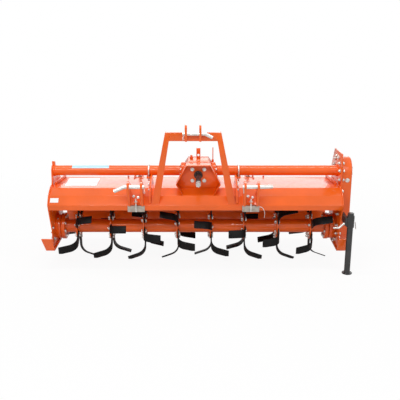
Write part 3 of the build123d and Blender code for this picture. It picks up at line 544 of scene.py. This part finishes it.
class TILLER_OT_blade_bolts(bpy.types.Operator):
    """Bolt heads on the blades and nuts on the flanges' other side"""

    bl_idname = "tiller.blade_bolts"
    bl_label = "Blade bolts"

    def execute(self, context):
        rotor = context.scene.tiller_rotor
        radius = context.scene.tiller_fasteners.large * 0.95
        head = bolt_master(radius)
        nut = bolt_master(radius, stud=True)
        for index, node in enumerate(FLANGES):
            seat = middle(node).x - rotor.blade_thick / 2
            heads = []
            nuts = []
            for blade in range(rotor.blades_each):
                tip = rotor.first_tip + rotor.helix_step * index + math.tau * blade / rotor.blades_each
                turn = math.pi / 2 - tip + rotor.shank_lead
                out = Vector((0, -math.sin(turn), math.cos(turn)))
                for reach in (rotor.bolt_inner, rotor.bolt_outer):
                    place = Vector((0, ROTOR_AXIS.y, ROTOR_AXIS.z)) + out * reach
                    heads.append((place + Vector((seat + rotor.blade_thick, 0, 0)), RIGHT))
                    nuts.append((place + Vector((seat - rotor.blade_thick, 0, 0)), LEFT))
            row = joined([stamped(head, heads), stamped(nut, nuts)])
            finished(row, "blade_bolts_" + str(index + 1), "rotor", "zinc")
        removed(head, nut)
        return {"FINISHED"}


class TILLER_OT_rotor_ends(bpy.types.Operator):
    """Bolts through the rotor's end discs and round the left fixed hub"""

    bl_idname = "tiller.rotor_ends"
    bl_label = "Rotor ends"

    def execute(self, context):
        head = bolt_master(context.scene.tiller_fasteners.large)
        past_hub = 0.031
        disc_circle = 0.078
        hub_circle = 0.081
        from_left = high("bearing_hub_left").x + past_hub
        from_right = low("bearing_hub_right").x - past_hub
        places = circle_places(ROTOR_AXIS, disc_circle, 8, from_left, RIGHT, 0.2)
        places += circle_places(ROTOR_AXIS, disc_circle, 8, from_right, LEFT, 0.2)
        fastened(head, places, "rotor_end_bolts", "rotor")
        places = circle_places(ROTOR_AXIS, hub_circle, 6, PLATE_LEFT_OUT, LEFT, 0.5)
        fastened(head, places, "hub_bolts_left")
        removed(head)
        return {"FINISHED"}


class TILLER_OT_case_bolts(bpy.types.Operator):
    """Bolts all round the side gear case, with their nuts inside the right-hand plate"""

    bl_idname = "tiller.case_bolts"
    bl_label = "Gear case bolts"

    def execute(self, context):
        large = context.scene.tiller_fasteners.large
        nut_share = 1.12
        head = bolt_master(large)
        nut = bolt_master(large * nut_share, stud=True)
        case_left = low("side_gear_case").x
        outline = self.outline()
        fastened(head, [(Vector((case_left + CASE_LIP, y, z)), RIGHT) for y, z in outline], "case_bolts")
        fastened(nut, [(Vector((PLATE_RIGHT_IN, y, z)), LEFT) for y, z in outline], "case_nuts")
        removed(head, nut)
        return {"FINISHED"}

    def outline(self):
        """Places (y, z) round the two arcs of the case and down its two sides."""
        inset = 0.006
        arc_count, arc_first, arc_step = 6, 12, 31.2
        side_count = 5
        case_low, case_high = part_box("side_gear_case")
        foot_radius = ROTOR_AXIS.z - case_low.z - inset
        top_radius = case_high.z - BEAM_AXIS.z - inset
        spots = []
        for k in range(arc_count):
            angle = math.radians(arc_first + arc_step * k)
            across, up = math.cos(angle), math.sin(angle)
            spots.append((ROTOR_AXIS.y + top_radius * across, BEAM_AXIS.z + top_radius * up))
            spots.append((ROTOR_AXIS.y + foot_radius * across, ROTOR_AXIS.z - foot_radius * up))
        for k in range(side_count):
            share = (k + 0.5) / side_count
            reach = foot_radius + (top_radius - foot_radius) * share
            height = ROTOR_AXIS.z + (BEAM_AXIS.z - ROTOR_AXIS.z) * share
            spots += [(ROTOR_AXIS.y - reach, height), (ROTOR_AXIS.y + reach, height)]
        return spots


class TILLER_OT_beam_bolts(bpy.types.Operator):
    """Bolts through the beam's flanges at the gearbox"""

    bl_idname = "tiller.beam_bolts"
    bl_label = "Beam flange bolts"

    def execute(self, context):
        circle = 0.051
        head = bolt_master(context.scene.tiller_fasteners.small)
        places = circle_places(BEAM_AXIS, circle, 8, high("beam_left").x - BEAM_RING, LEFT, 0.4)
        places += circle_places(BEAM_AXIS, circle, 8, low("beam_right").x + BEAM_RING, RIGHT, 0.4)
        fastened(head, places, "beam_flange_bolts")
        removed(head)
        return {"FINISHED"}


class TILLER_OT_input(bpy.types.Operator):
    """Bolts on the input plate and the splined end of the input shaft"""

    bl_idname = "tiller.input_end"
    bl_label = "Input shaft and plate bolts"

    def execute(self, context):
        self.bolts(context)
        self.shaft()
        return {"FINISHED"}

    def bolts(self, context):
        head = bolt_master(context.scene.tiller_fasteners.large)
        spread_x = 0.0435
        spread_z = 0.0425
        face = low("gearbox_front_plate").y
        places = []
        for side in (-1, 1):
            for level in (-1, 1):
                place = Vector((INPUT_AXIS.x + side * spread_x, face, INPUT_AXIS.z + level * spread_z))
                places.append((place, FRONT))
        fastened(head, places, "input_plate_bolts")
        removed(head)

    def shaft(self):
        start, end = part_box("pto_shaft")
        full = (end.z - start.z) / 2
        spline_root = 0.0145
        spline_long = 0.042
        spline_depth = 0.003
        spline_pitch = 60
        nose_long = 0.0015
        length = end.y - start.y
        splined = cylinder(spline_root, 0, spline_long, 36)
        opened(splined, "DESELECT")
        bpy.ops.mesh.select_mode(type="FACE")
        mesh = bmesh.from_edit_mesh(splined.data)
        for face in mesh.faces:
            centre = face.calc_center_median()
            turn = math.degrees(math.atan2(centre.y, centre.x)) % spline_pitch
            face.select = abs(face.normal.z) < 0.5 and turn < spline_pitch / 2
        bmesh.update_edit_mesh(splined.data)
        bpy.ops.mesh.extrude_region_shrink_fatten(TRANSFORM_OT_shrink_fatten={"value": spline_depth})
        closed()
        rounded(splined, 0.0006, 2, 35)
        body = rounded(cylinder(full, spline_long, length, 48), 0.0015)
        nose = rounded(cylinder(spline_root * 0.45, -nose_long, 0, 24), 0.0005, 1)
        shaft = smooth(joined([splined, body, nose]))
        turned(shaft, Vector((INPUT_AXIS.x, start.y, INPUT_AXIS.z)), BACK)
        finished(shaft, "splined_input_shaft", "input_shaft", "bright_shaft")
        shaft.data.materials.append(finish_of("black_paint"))
        for face in shaft.data.polygons:
            if face.center.y > start.y + spline_long + 0.0005:
                face.material_index = 1
        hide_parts("pto_shaft")


class TILLER_OT_springs(bpy.types.Operator):
    """Coil springs on the rear board's adjuster rods"""

    bl_idname = "tiller.springs"
    bl_label = "Board springs"

    def execute(self, context):
        coil = 0.0135
        gauge = 0.0034
        length = 0.095
        turns = 8
        for side in ("left", "right"):
            node = "rod_spring_" + side
            foot = Vector(JOINTS["rod_" + side + "_pivot"]["pos_m"])
            centre = middle(node)
            along = Vector((0, centre.y - foot.y, centre.z - foot.z)).normalized()
            deselect()
            bpy.ops.mesh.primitive_circle_add(vertices=10, radius=gauge, location=(coil, 0, gauge),
                                              rotation=(math.pi / 2, 0, 0))
            ring = settle(bpy.context.object)
            pitch = (length - 2 * gauge) / turns
            modified(ring, "SCREW", axis="Z", steps=28, render_steps=28, iterations=turns,
                     screw_offset=pitch, angle=math.tau, use_normal_calculate=True)
            opened(ring, "SELECT")
            bpy.ops.mesh.remove_doubles(threshold=MERGE_DISTANCE)
            bpy.ops.mesh.select_all(action="DESELECT")
            bpy.ops.mesh.select_mode(type="EDGE")
            bpy.ops.mesh.select_non_manifold(extend=False)
            bpy.ops.mesh.edge_face_add()
            bpy.ops.mesh.select_all(action="SELECT")
            bpy.ops.mesh.normals_make_consistent(inside=False)
            closed()
            turned(ring, centre - along * (length / 2), along)
            finished(smooth(ring, 60), "coil_spring_" + side, "rod_" + side, "spring_steel")
            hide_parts(node)
        return {"FINISHED"}


class TILLER_OT_welds(bpy.types.Operator):
    """Weld beads where the flanges meet the rotor tube and the beam meets its rings"""

    bl_idname = "tiller.welds"
    bl_label = "Weld beads"

    def execute(self, context):
        bead = context.scene.tiller_fasteners.weld
        thick = context.scene.tiller_rotor.blade_thick
        rings = []
        for node in FLANGES:
            seat = middle(node).x - thick / 2
            for x in (seat + BEAD_SHIFT, seat - thick - BEAD_SHIFT):
                rings.append(self.bead(x, TUBE_RADIUS, bead, ROTOR_AXIS))
        painted(smooth(joined(rings), 60), "rotor_welds", "rotor")
        inward = BEAM_RING + BEAD_SHIFT
        rings = []
        for node in ("beam_left", "beam_right"):
            for x in (low(node).x + inward, high(node).x - inward):
                rings.append(self.bead(x, BEAM_RADIUS, bead, BEAM_AXIS))
        painted(smooth(joined(rings), 60), "beam_welds")
        return {"FINISHED"}

    def bead(self, x, radius, bead, axis):
        deselect()
        bpy.ops.mesh.primitive_torus_add(major_segments=72, minor_segments=8, major_radius=radius,
                                         minor_radius=bead, location=(x, axis.y, axis.z),
                                         rotation=(0, math.pi / 2, 0))
        return settle(bpy.context.object)


class TILLER_OT_seams(bpy.types.Operator):
    """Fillet welds along the brackets, gussets and ears"""

    bl_idname = "tiller.seams"
    bl_label = "Fillet welds"

    def execute(self, context):
        deck = context.scene.tiller_deck
        bead = context.scene.tiller_fasteners.weld * 0.8
        top = high("deck").z
        fold = Vector((0, DECK_FOLD.y, low("deck").z + deck.lip))
        crease = fold + Vector((0, deck.crease_back - BEAD_SHIFT, deck.crease_up))
        shoulder = Vector((0, fold.y + deck.shoulder_back, top))
        seams = []
        for node in LINK_BRACKETS:
            for x in (low(node).x, high(node).x):
                seams.append(self.seam(x, (fold, crease), bead))
        gusset_end = 0.035
        headstock_end = Vector((0, gusset_end, top))
        for edge in GUSSET_FACES:
            seams.append(self.seam(edge, (fold, crease, shoulder, headstock_end), bead))
        cheek_inset, flat_end = 0.006, 0.058
        cheek_line = (Vector((0, low("trunnion_brackets").y + cheek_inset, top)),
                      Vector((0, high("deck").y - flat_end, top)))
        for x in self.cheek_edges():
            seams.append(self.seam(x, cheek_line, bead))
        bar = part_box("mast_crossbar")
        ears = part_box("top_link_ears")
        bar_corner, from_top = 0.006, 0.002
        foot = Vector((0, bar[0].y + bar_corner, bar[0].z + bar_corner))
        head = Vector((0, bar[0].y, bar[1].z - from_top))
        ear = context.scene.tiller_fasteners.ear
        for x in (ears[0].x, ears[0].x + ear, ears[1].x - ear, ears[1].x):
            seams.append(self.seam(x, (foot, head), bead))
        painted(joined(seams), "bracket_welds")
        return {"FINISHED"}

    def seam(self, x, line, bead):
        return wire([Vector((x, point.y, point.z)) for point in line], bead, order=2, resolution=2)

    def cheek_edges(self):
        left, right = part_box("trunnion_brackets")
        cheek = 0.006
        gap = 0.052
        edges = []
        for start in (left.x, right.x - gap - 2 * cheek):
            edges += [start, start + cheek, start + cheek + gap, start + 2 * cheek + gap]
        return edges


class TILLER_OT_bracket_bolts(bpy.types.Operator):
    """Studs that clamp the lower-link brackets to the deck's lip, and bolts through the gussets"""

    bl_idname = "tiller.bracket_bolts"
    bl_label = "Bracket and gusset bolts"

    def execute(self, context):
        sizes = context.scene.tiller_fasteners
        deck = context.scene.tiller_deck
        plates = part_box("deck_clamp_plates")
        front = plates[0].y
        tab_above, stud_above, stud_foot = 0.024, 0.030, 0.004
        tab_z = plates[1].z + tab_above
        small = bolt_master(sizes.small)
        large = bolt_master(sizes.large, stud=True)
        slope = Vector((0, -deck.crease_up, deck.crease_back)).normalized()
        plate_thick = 0.010
        tab_half, tab_front, tab_back, tab_thick = 0.020, 0.018, 0.036, 0.007
        stud_radius, stud_y = 0.006, front - 0.0065
        foot_bolts = ((0.014, 0.78), (-0.020, 0.90))
        gusset_bolts = ((-0.205, 0.600), (-0.150, 0.640), (-0.205, 0.640))
        tabs = []
        studs = []
        nuts = []
        heads = []
        for node in LINK_BRACKETS:
            x = middle(node).x
            tab = block((x - tab_half, front - tab_front, tab_z),
                        (x + tab_half, front + tab_back, tab_z + tab_thick))
            tabs.append(rounded(tab, 0.0015))
            stud = cylinder(stud_radius, plates[0].z + stud_foot, tab_z + stud_above, 20)
            stud.data.transform(Matrix.Translation((x, stud_y, 0)))
            studs.append(stud)
            nuts.append((Vector((x, stud_y, tab_z + tab_thick)), (0, 0, 1)))
            for across, share in foot_bolts:
                place = Vector((x + across, DECK_FOLD.y + deck.crease_back * share,
                                low("deck").z + deck.lip + deck.crease_up * share))
                heads.append((place + slope * plate_thick, slope))
        for x, direction in zip(GUSSET_FACES, (LEFT, RIGHT)):
            for y, z in gusset_bolts:
                heads.append((Vector((x, y, z)), direction))
        painted(joined(tabs), "clamp_tabs")
        fixings = joined(studs + [stamped(large, nuts), stamped(small, heads)])
        finished(fixings, "bracket_fixings", "frame", "zinc")
        removed(small, large)
        return {"FINISHED"}


class TILLER_OT_covers(bpy.types.Operator):
    """Bolted covers on the gearbox's back and on the side gear case"""

    bl_idname = "tiller.covers"
    bl_label = "Gearbox and gear case covers"

    def execute(self, context):
        self.gearbox_cover(context.scene.tiller_fasteners)
        self.case_covers(context.scene.tiller_fasteners)
        return {"FINISHED"}

    def gearbox_cover(self, sizes):
        below, thick, rim, hub, circle, count = 0.004, 0.008, 0.013, 0.020, 0.057, 6
        centre = Vector((INPUT_AXIS.x, high("gearbox").y, INPUT_AXIS.z - below))
        lid = stepped(((0.066, 0, thick, 64, 0.0015, 2), (0.048, thick, rim, 56, 0.003, 3),
                       (0.030, rim, hub, 48, 0.004, 3)))
        painted(turned(lid, centre, BACK), "gearbox_back_cover")
        head = bolt_master(sizes.small)
        places = []
        for k in range(count):
            angle = math.tau * (k + 0.5) / count
            offset = Vector((math.cos(angle) * circle, thick, math.sin(angle) * circle))
            places.append((centre + offset, BACK))
        fastened(head, places, "gearbox_cover_bolts")
        removed(head)

    def case_covers(self, sizes):
        outside = high("side_gear_case").x
        front = low("side_gear_case").y
        thick, cap = 0.007, 0.015
        cap_share, circle_share, plug_share = 0.62, 0.82, 1.15
        lids = []
        places = []
        head = bolt_master(sizes.small)
        for axis, radius in ((BEAM_AXIS, 0.056), (ROTOR_AXIS, 0.064)):
            lid = stepped(((radius, 0, thick, 64, 0.0015, 2),
                           (radius * cap_share, thick, cap, 56, 0.003, 3)))
            place = Vector((outside, ROTOR_AXIS.y, axis.z))
            lids.append(turned(lid, place, RIGHT))
            places += circle_places(place, radius * circle_share, 6, outside + thick, RIGHT, 0.3)
        painted(joined(lids), "gear_case_covers")
        fastened(head, places, "gear_case_cover_bolts")
        plug = bolt_master(sizes.large * plug_share)
        middle_x = (low("side_gear_case").x + CASE_LIP + outside) / 2
        breather = Vector((middle_x, front + 0.013, 0.646))
        level = Vector((outside, ROTOR_AXIS.y - 0.045, 0.470))
        drain = Vector((outside, ROTOR_AXIS.y, 0.165))
        spots = [(breather, FRONT), (level, RIGHT), (drain, RIGHT)]
        fastened(plug, spots, "gear_case_plugs")
        removed(head, plug)


class TILLER_OT_plate_bolts(bpy.types.Operator):
    """Bolts that hold the skids and the deck to the side plates, and the hubs' grease nipples"""

    bl_idname = "tiller.plate_bolts"
    bl_label = "Side plate bolts and grease nipples"

    def execute(self, context):
        head = bolt_master(context.scene.tiller_fasteners.large)
        inner_left = PLATE_LEFT_OUT + PLATE_THICK
        outer_right = high("side_plate_right").x
        deck_row = high("deck_end_strips").z - 0.012
        # x, way it points, places (y, z)
        rows = ((PLATE_LEFT_OUT, -1, ((-0.155, 0.215), (-0.162, 0.262), (0.030, 0.158), (0.105, 0.158))),
                (outer_right, 1, ((-0.155, 0.215), (0.105, 0.158))),
                (PLATE_LEFT_OUT, -1, ((-0.040, deck_row), (0.040, deck_row), (0.120, deck_row))),
                (inner_left, 1, ((-0.175, 0.300), (-0.150, 0.205))))
        places = [(Vector((x, y, z)), (way, 0, 0)) for x, way, spots in rows for y, z in spots]
        fastened(head, places, "side_plate_bolts")
        nipple = stepped(((0.0052, 0, 0.005, 6, 0.0004, 1), (0.0032, 0.005, 0.011, 16, 0.0004, 1),
                          (0.0040, 0.011, 0.0145, 16, 0.0015, 2)))
        radius = (high("bearing_hub_left").z - low("bearing_hub_left").z) / 2
        lean = 0.9
        out = Vector((0, -math.cos(lean), math.sin(lean)))
        spots = [(Vector((middle(node).x, ROTOR_AXIS.y, ROTOR_AXIS.z)) + out * radius, out)
                 for node in ("bearing_hub_left", "bearing_hub_right")]
        fastened(nipple, spots, "grease_nipples")
        removed(head, nipple)
        return {"FINISHED"}


class TILLER_OT_board_trim(bpy.types.Operator):
    """Ribs and the rounded lower edge of the rear board, and the folded edge of the deck before it"""

    bl_idname = "tiller.board_trim"
    bl_label = "Rear board trim"

    def execute(self, context):
        board_low, board_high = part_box("rear_board")
        face = BOARD_AXIS.y + 0.050
        rib_half, rib_foot, rib_head, rib_out, sunk = 0.003, 0.285, 0.425, 0.018, 0.004
        bar_radius, bar_back = 0.006, 0.0255
        ribs = []
        for share in (0.09, 0.40, 0.60, 0.91):
            x = board_low.x + (board_high.x - board_low.x) * share
            rib = block((x - rib_half, face - sunk, rib_foot), (x + rib_half, face + rib_out, rib_head))
            ribs.append(rounded(rib, 0.001))
        bar = cylinder(bar_radius, board_low.x, board_high.x, 20)
        bar.data.transform(Matrix.Rotation(math.pi / 2, 4, "Y"))
        bar.data.transform(Matrix.Translation((0, BOARD_AXIS.y + bar_back, board_low.z + bar_radius)))
        painted(smooth(joined(ribs + [bar])), "board_ribs", "board")
        self.rear_fold()
        return {"FINISHED"}

    def rear_fold(self):
        """The folded edge that stiffens the deck in front of the hinge."""
        deck_low, deck_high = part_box("deck")
        side, front, back, below, above = 0.004, 0.009, 0.005, 0.062, 0.012
        edge = block((deck_low.x + side, deck_high.y - front, BOARD_AXIS.z - below),
                     (deck_high.x - side, deck_high.y - back, BOARD_AXIS.z + above))
        painted(rounded(edge, 0.0015), "deck_rear_fold")


class TILLER_OT_labels(bpy.types.Operator):
    """Blank labels on the beam and the deck"""

    bl_idname = "tiller.labels"
    bl_label = "Blank labels"

    def execute(self, context):
        self.beam_label()
        self.deck_labels(context.scene.tiller_deck)
        return {"FINISHED"}

    def beam_label(self):
        """A pale strip round the upper front of the beam's left half."""
        length, width, wrap, from_end = 0.275, 0.004, -0.85, 0.140
        start = Vector((low("beam_left").x + from_end + length / 2, BEAM_AXIS.y, BEAM_AXIS.z + BEAM_RADIUS))
        deselect()
        bpy.ops.mesh.primitive_plane_add(size=1)
        strip = bpy.context.object
        strip.scale = (length, width, 1)
        strip.location = start
        opened(settle(strip), "DESELECT")
        bpy.ops.mesh.select_mode(type="EDGE")
        mesh = bmesh.from_edit_mesh(strip.data)
        for edge in mesh.edges:
            centre = (edge.verts[0].co + edge.verts[1].co) / 2
            edge.select = centre.y < BEAM_AXIS.y - width * 3 / 8
        bmesh.update_edit_mesh(strip.data)
        bpy.ops.mesh.spin(steps=12, angle=wrap, center=(0, BEAM_AXIS.y, BEAM_AXIS.z), axis=RIGHT)
        closed()
        finished(smooth(strip, 60), "beam_label", "frame", "blue_label")

    def deck_labels(self, deck):
        left = low("deck").x
        fold_z = low("deck").z + deck.lip
        top_z = high("deck").z
        slope = math.atan2(deck.crease_up, deck.crease_back)
        film = 0.0006
        front_size, front_left, share = (0.060, 0.034), 0.040, 0.52
        top_size, top_left, top_back = (0.237, 0.205), 0.205, 0.285
        small = self.plate(*front_size, film)
        place = Vector((left + front_left, DECK_FOLD.y + deck.crease_back * share,
                        fold_z + deck.crease_up * share))
        normal = Vector((0, -math.sin(slope), math.cos(slope)))
        small.data.transform(Matrix.Translation(place + normal * film) @ Matrix.Rotation(slope, 4, "X"))
        finished(small, "deck_front_label", "frame", "white_label")
        large = self.plate(*top_size, film)
        large.data.transform(Matrix.Translation((left + top_left, DECK_FOLD.y + top_back, top_z + film)))
        finished(large, "deck_top_label", "frame", "white_label")

    def plate(self, wide, deep, film):
        return rounded(block((-wide / 2, -deep / 2, 0), (wide / 2, deep / 2, film)), 0.0002, 1)


class TILLER_OT_clips(bpy.types.Operator):
    """Spring clips in the hitch pins and the stand, and the bent keeper wire"""

    bl_idname = "tiller.clips"
    bl_label = "Clips and keeper wire"

    def execute(self, context):
        radius = context.scene.tiller_fasteners.clip_wire
        clip = self.hairpin(radius)
        stand = middle("stand_leg")
        from_top, past_sleeve, past_ear = 0.007, 0.010, 0.006
        lock_z = high("stand_lock_pin").z - from_top
        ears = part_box("top_link_ears")
        places = [(Vector((high("stand_sleeve").x + past_sleeve, stand.y, lock_z)), (0.15, 0, -1))]
        for hand, x in (("left", high("lower_link_bracket_left").x + past_ear),
                        ("right", low("lower_link_bracket_right").x - past_ear)):
            pin = MOUNTS["lower_link_pin_" + hand]
            places.append((Vector((x, pin.y, pin.z)), (0, -0.2, -1)))
        pin = MOUNTS["top_link_pin"]
        places.append((Vector((ears[0].x - past_ear, pin.y, pin.z)), (0, -0.2, -1)))
        fastened(clip, places, "stand_clip")
        removed(clip)
        plate_low, plate_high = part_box("deck_clamp_plates")
        start = Vector((plate_high.x, plate_low.y, plate_high.z)) - Vector((0.004, 0.002, 0.006))
        bends = ((0, 0, 0), (0.020, -0.006, 0.002), (0.038, -0.010, -0.022),
                 (0.044, -0.012, -0.052), (0.040, -0.012, -0.078))
        finished(wire([start + Vector(bend) for bend in bends], radius), "keeper_wire", "frame", "zinc")
        return {"FINISHED"}

    def hairpin(self, radius):
        """A hairpin clip hanging down +Z from its eye."""
        bends = ((0, -0.012), (0, 0.030), (0.004, 0.044), (0.016, 0.044), (0.018, 0.030), (0.008, 0.018),
                 (0.014, 0.006), (0.010, -0.010))
        return wire([Vector((x, 0, z)) for x, z in bends], radius)


class TILLER_OT_stage(bpy.types.Operator):
    """Pale floor, soft lamps and the camera"""

    bl_idname = "tiller.stage"
    bl_label = "Stage"

    def execute(self, context):
        stage = context.scene.tiller_stage
        self.floor(stage)
        self.world(context, stage)
        self.lamps()
        self.camera(context, stage)
        context.scene.view_settings.view_transform = "Standard"
        return {"FINISHED"}

    def floor(self, stage):
        deselect()
        bpy.ops.mesh.primitive_plane_add(size=2 * stage.floor_half)
        floor = bpy.context.object
        floor.name = "floor"
        white = Finish("white studio floor")
        add, link = white.add, white.link
        set_inputs(white.shader, {"Base Color": (0.92, 0.92, 0.92, 1), "Roughness": 0.9,
                                  "Specular IOR Level": 0.1})
        glow = add("ShaderNodeEmission")
        set_inputs(glow, {"Strength": 1.0})
        rays = add("ShaderNodeLightPath")
        distance = add("ShaderNodeVectorMath")
        distance.operation = "LENGTH"
        link(white.where, distance.inputs[0])
        share = add("ShaderNodeMath")
        share.operation = "MULTIPLY"
        glow_share = white.spread(distance.outputs["Value"], 0.92, 1.0, from_low=1.5, from_high=3.2)
        link(glow_share, share.inputs[1])
        link(rays.outputs["Is Camera Ray"], share.inputs[0])
        either_shader(white.tree, share.outputs[0], white.shader.outputs["BSDF"], glow.outputs["Emission"],
                      "Material Output")
        floor.data.materials.append(white.material)

    def world(self, context, stage):
        world = bpy.data.worlds.new("white studio")
        context.scene.world = world
        world.use_nodes = True
        nodes = world.node_tree.nodes
        links = world.node_tree.links
        lit = nodes["Background"]
        set_inputs(lit, {"Color": (1, 1, 1, 1), "Strength": stage.surround})
        seen = nodes.new("ShaderNodeBackground")
        set_inputs(seen, {"Color": (1, 1, 1, 1), "Strength": 1.0})
        rays = nodes.new("ShaderNodeLightPath")
        either = nodes.new("ShaderNodeMath")
        either.operation = "MAXIMUM"
        links.new(rays.outputs["Is Camera Ray"], either.inputs[0])
        links.new(rays.outputs["Is Glossy Ray"], either.inputs[1])
        either_shader(world.node_tree, either.outputs[0], lit.outputs["Background"],
                      seen.outputs["Background"], "World Output")

    def lamps(self):
        aim = Vector((0, 0, 0.5))
        table = (
            # name, place, width, height, watts
            ("key", (-1.4, -3.4, 3.3), 3.2, 0.5, 62),
            ("fill", (3.2, -2.8, 2.4), 1.8, 1.8, 24),
            ("back", (0.0, 3.6, 2.0), 5.4, 1.7, 44),
            ("top", (0.0, -0.4, 4.2), 3.8, 0.5, 66),
        )
        for name, place, width, height, watts in table:
            deselect()
            bpy.ops.object.light_add(type="AREA", location=place)
            lamp = bpy.context.object
            lamp.name = name + "_lamp"
            lamp.data.shape = "RECTANGLE"
            lamp.data.size = width
            lamp.data.size_y = height
            lamp.data.energy = watts
            lamp.rotation_euler = (aim - Vector(place)).to_track_quat("-Z", "Y").to_euler()
            lamp.visible_camera = False

    def camera(self, context, stage):
        aim = Vector((HITCH_X + stage.aim_side, ROTOR_AXIS.y, stage.aim_height))
        back = Vector((0, -math.cos(stage.elevation), math.sin(stage.elevation)))
        deselect()
        bpy.ops.object.camera_add(location=aim + back * stage.distance)
        camera = bpy.context.object
        camera.rotation_euler = (-back).to_track_quat("-Z", "Y").to_euler()
        camera.data.lens = stage.lens
        camera.data.sensor_width = 36
        context.scene.camera = camera


# ---------------------------------------------------------------- panel and registration
ORDER = (
    TILLER_OT_stage,
    TILLER_OT_steelwork,
    TILLER_OT_blade_bolts,
    TILLER_OT_rotor_ends,
    TILLER_OT_case_bolts,
    TILLER_OT_beam_bolts,
    TILLER_OT_input,
    TILLER_OT_springs,
    TILLER_OT_welds,
    TILLER_OT_seams,
    TILLER_OT_bracket_bolts,
    TILLER_OT_covers,
    TILLER_OT_plate_bolts,
    TILLER_OT_board_trim,
    TILLER_OT_labels,
    TILLER_OT_clips,
)


class TILLER_PT_panel(bpy.types.Panel):
    """Buttons for each group of the tiller's pieces"""

    bl_label = "Rotary tiller"
    bl_idname = "TILLER_PT_panel"
    bl_space_type = "VIEW_3D"
    bl_region_type = "UI"
    bl_category = "Tiller"

    def draw(self, context):
        for operator in ORDER:
            self.layout.operator(operator.bl_idname)
        for group in GROUPS:
            settings = getattr(context.scene, group)
            self.layout.label(text=group.replace("_", " "))
            for name in settings.__annotations__:
                self.layout.prop(settings, name)


GROUPS = {
    "tiller_finish": TillerFinish,
    "tiller_fasteners": TillerFasteners,
    "tiller_rotor": TillerRotor,
    "tiller_deck": TillerDeck,
    "tiller_stage": TillerStage,
}


def register():
    for group, settings in GROUPS.items():
        bpy.utils.register_class(settings)
        setattr(bpy.types.Scene, group, bpy.props.PointerProperty(type=settings))
    for operator in ORDER:
        bpy.utils.register_class(operator)
    bpy.utils.register_class(TILLER_PT_panel)


def unregister():
    bpy.utils.unregister_class(TILLER_PT_panel)
    for operator in reversed(ORDER):
        bpy.utils.unregister_class(operator)
    for group, settings in GROUPS.items():
        delattr(bpy.types.Scene, group)
        bpy.utils.unregister_class(settings)


def main():
    register()
    for operator in ORDER:
        family, name = operator.bl_idname.split(".")
        getattr(getattr(bpy.ops, family), name)()


if __name__ == "__main__":
    main()
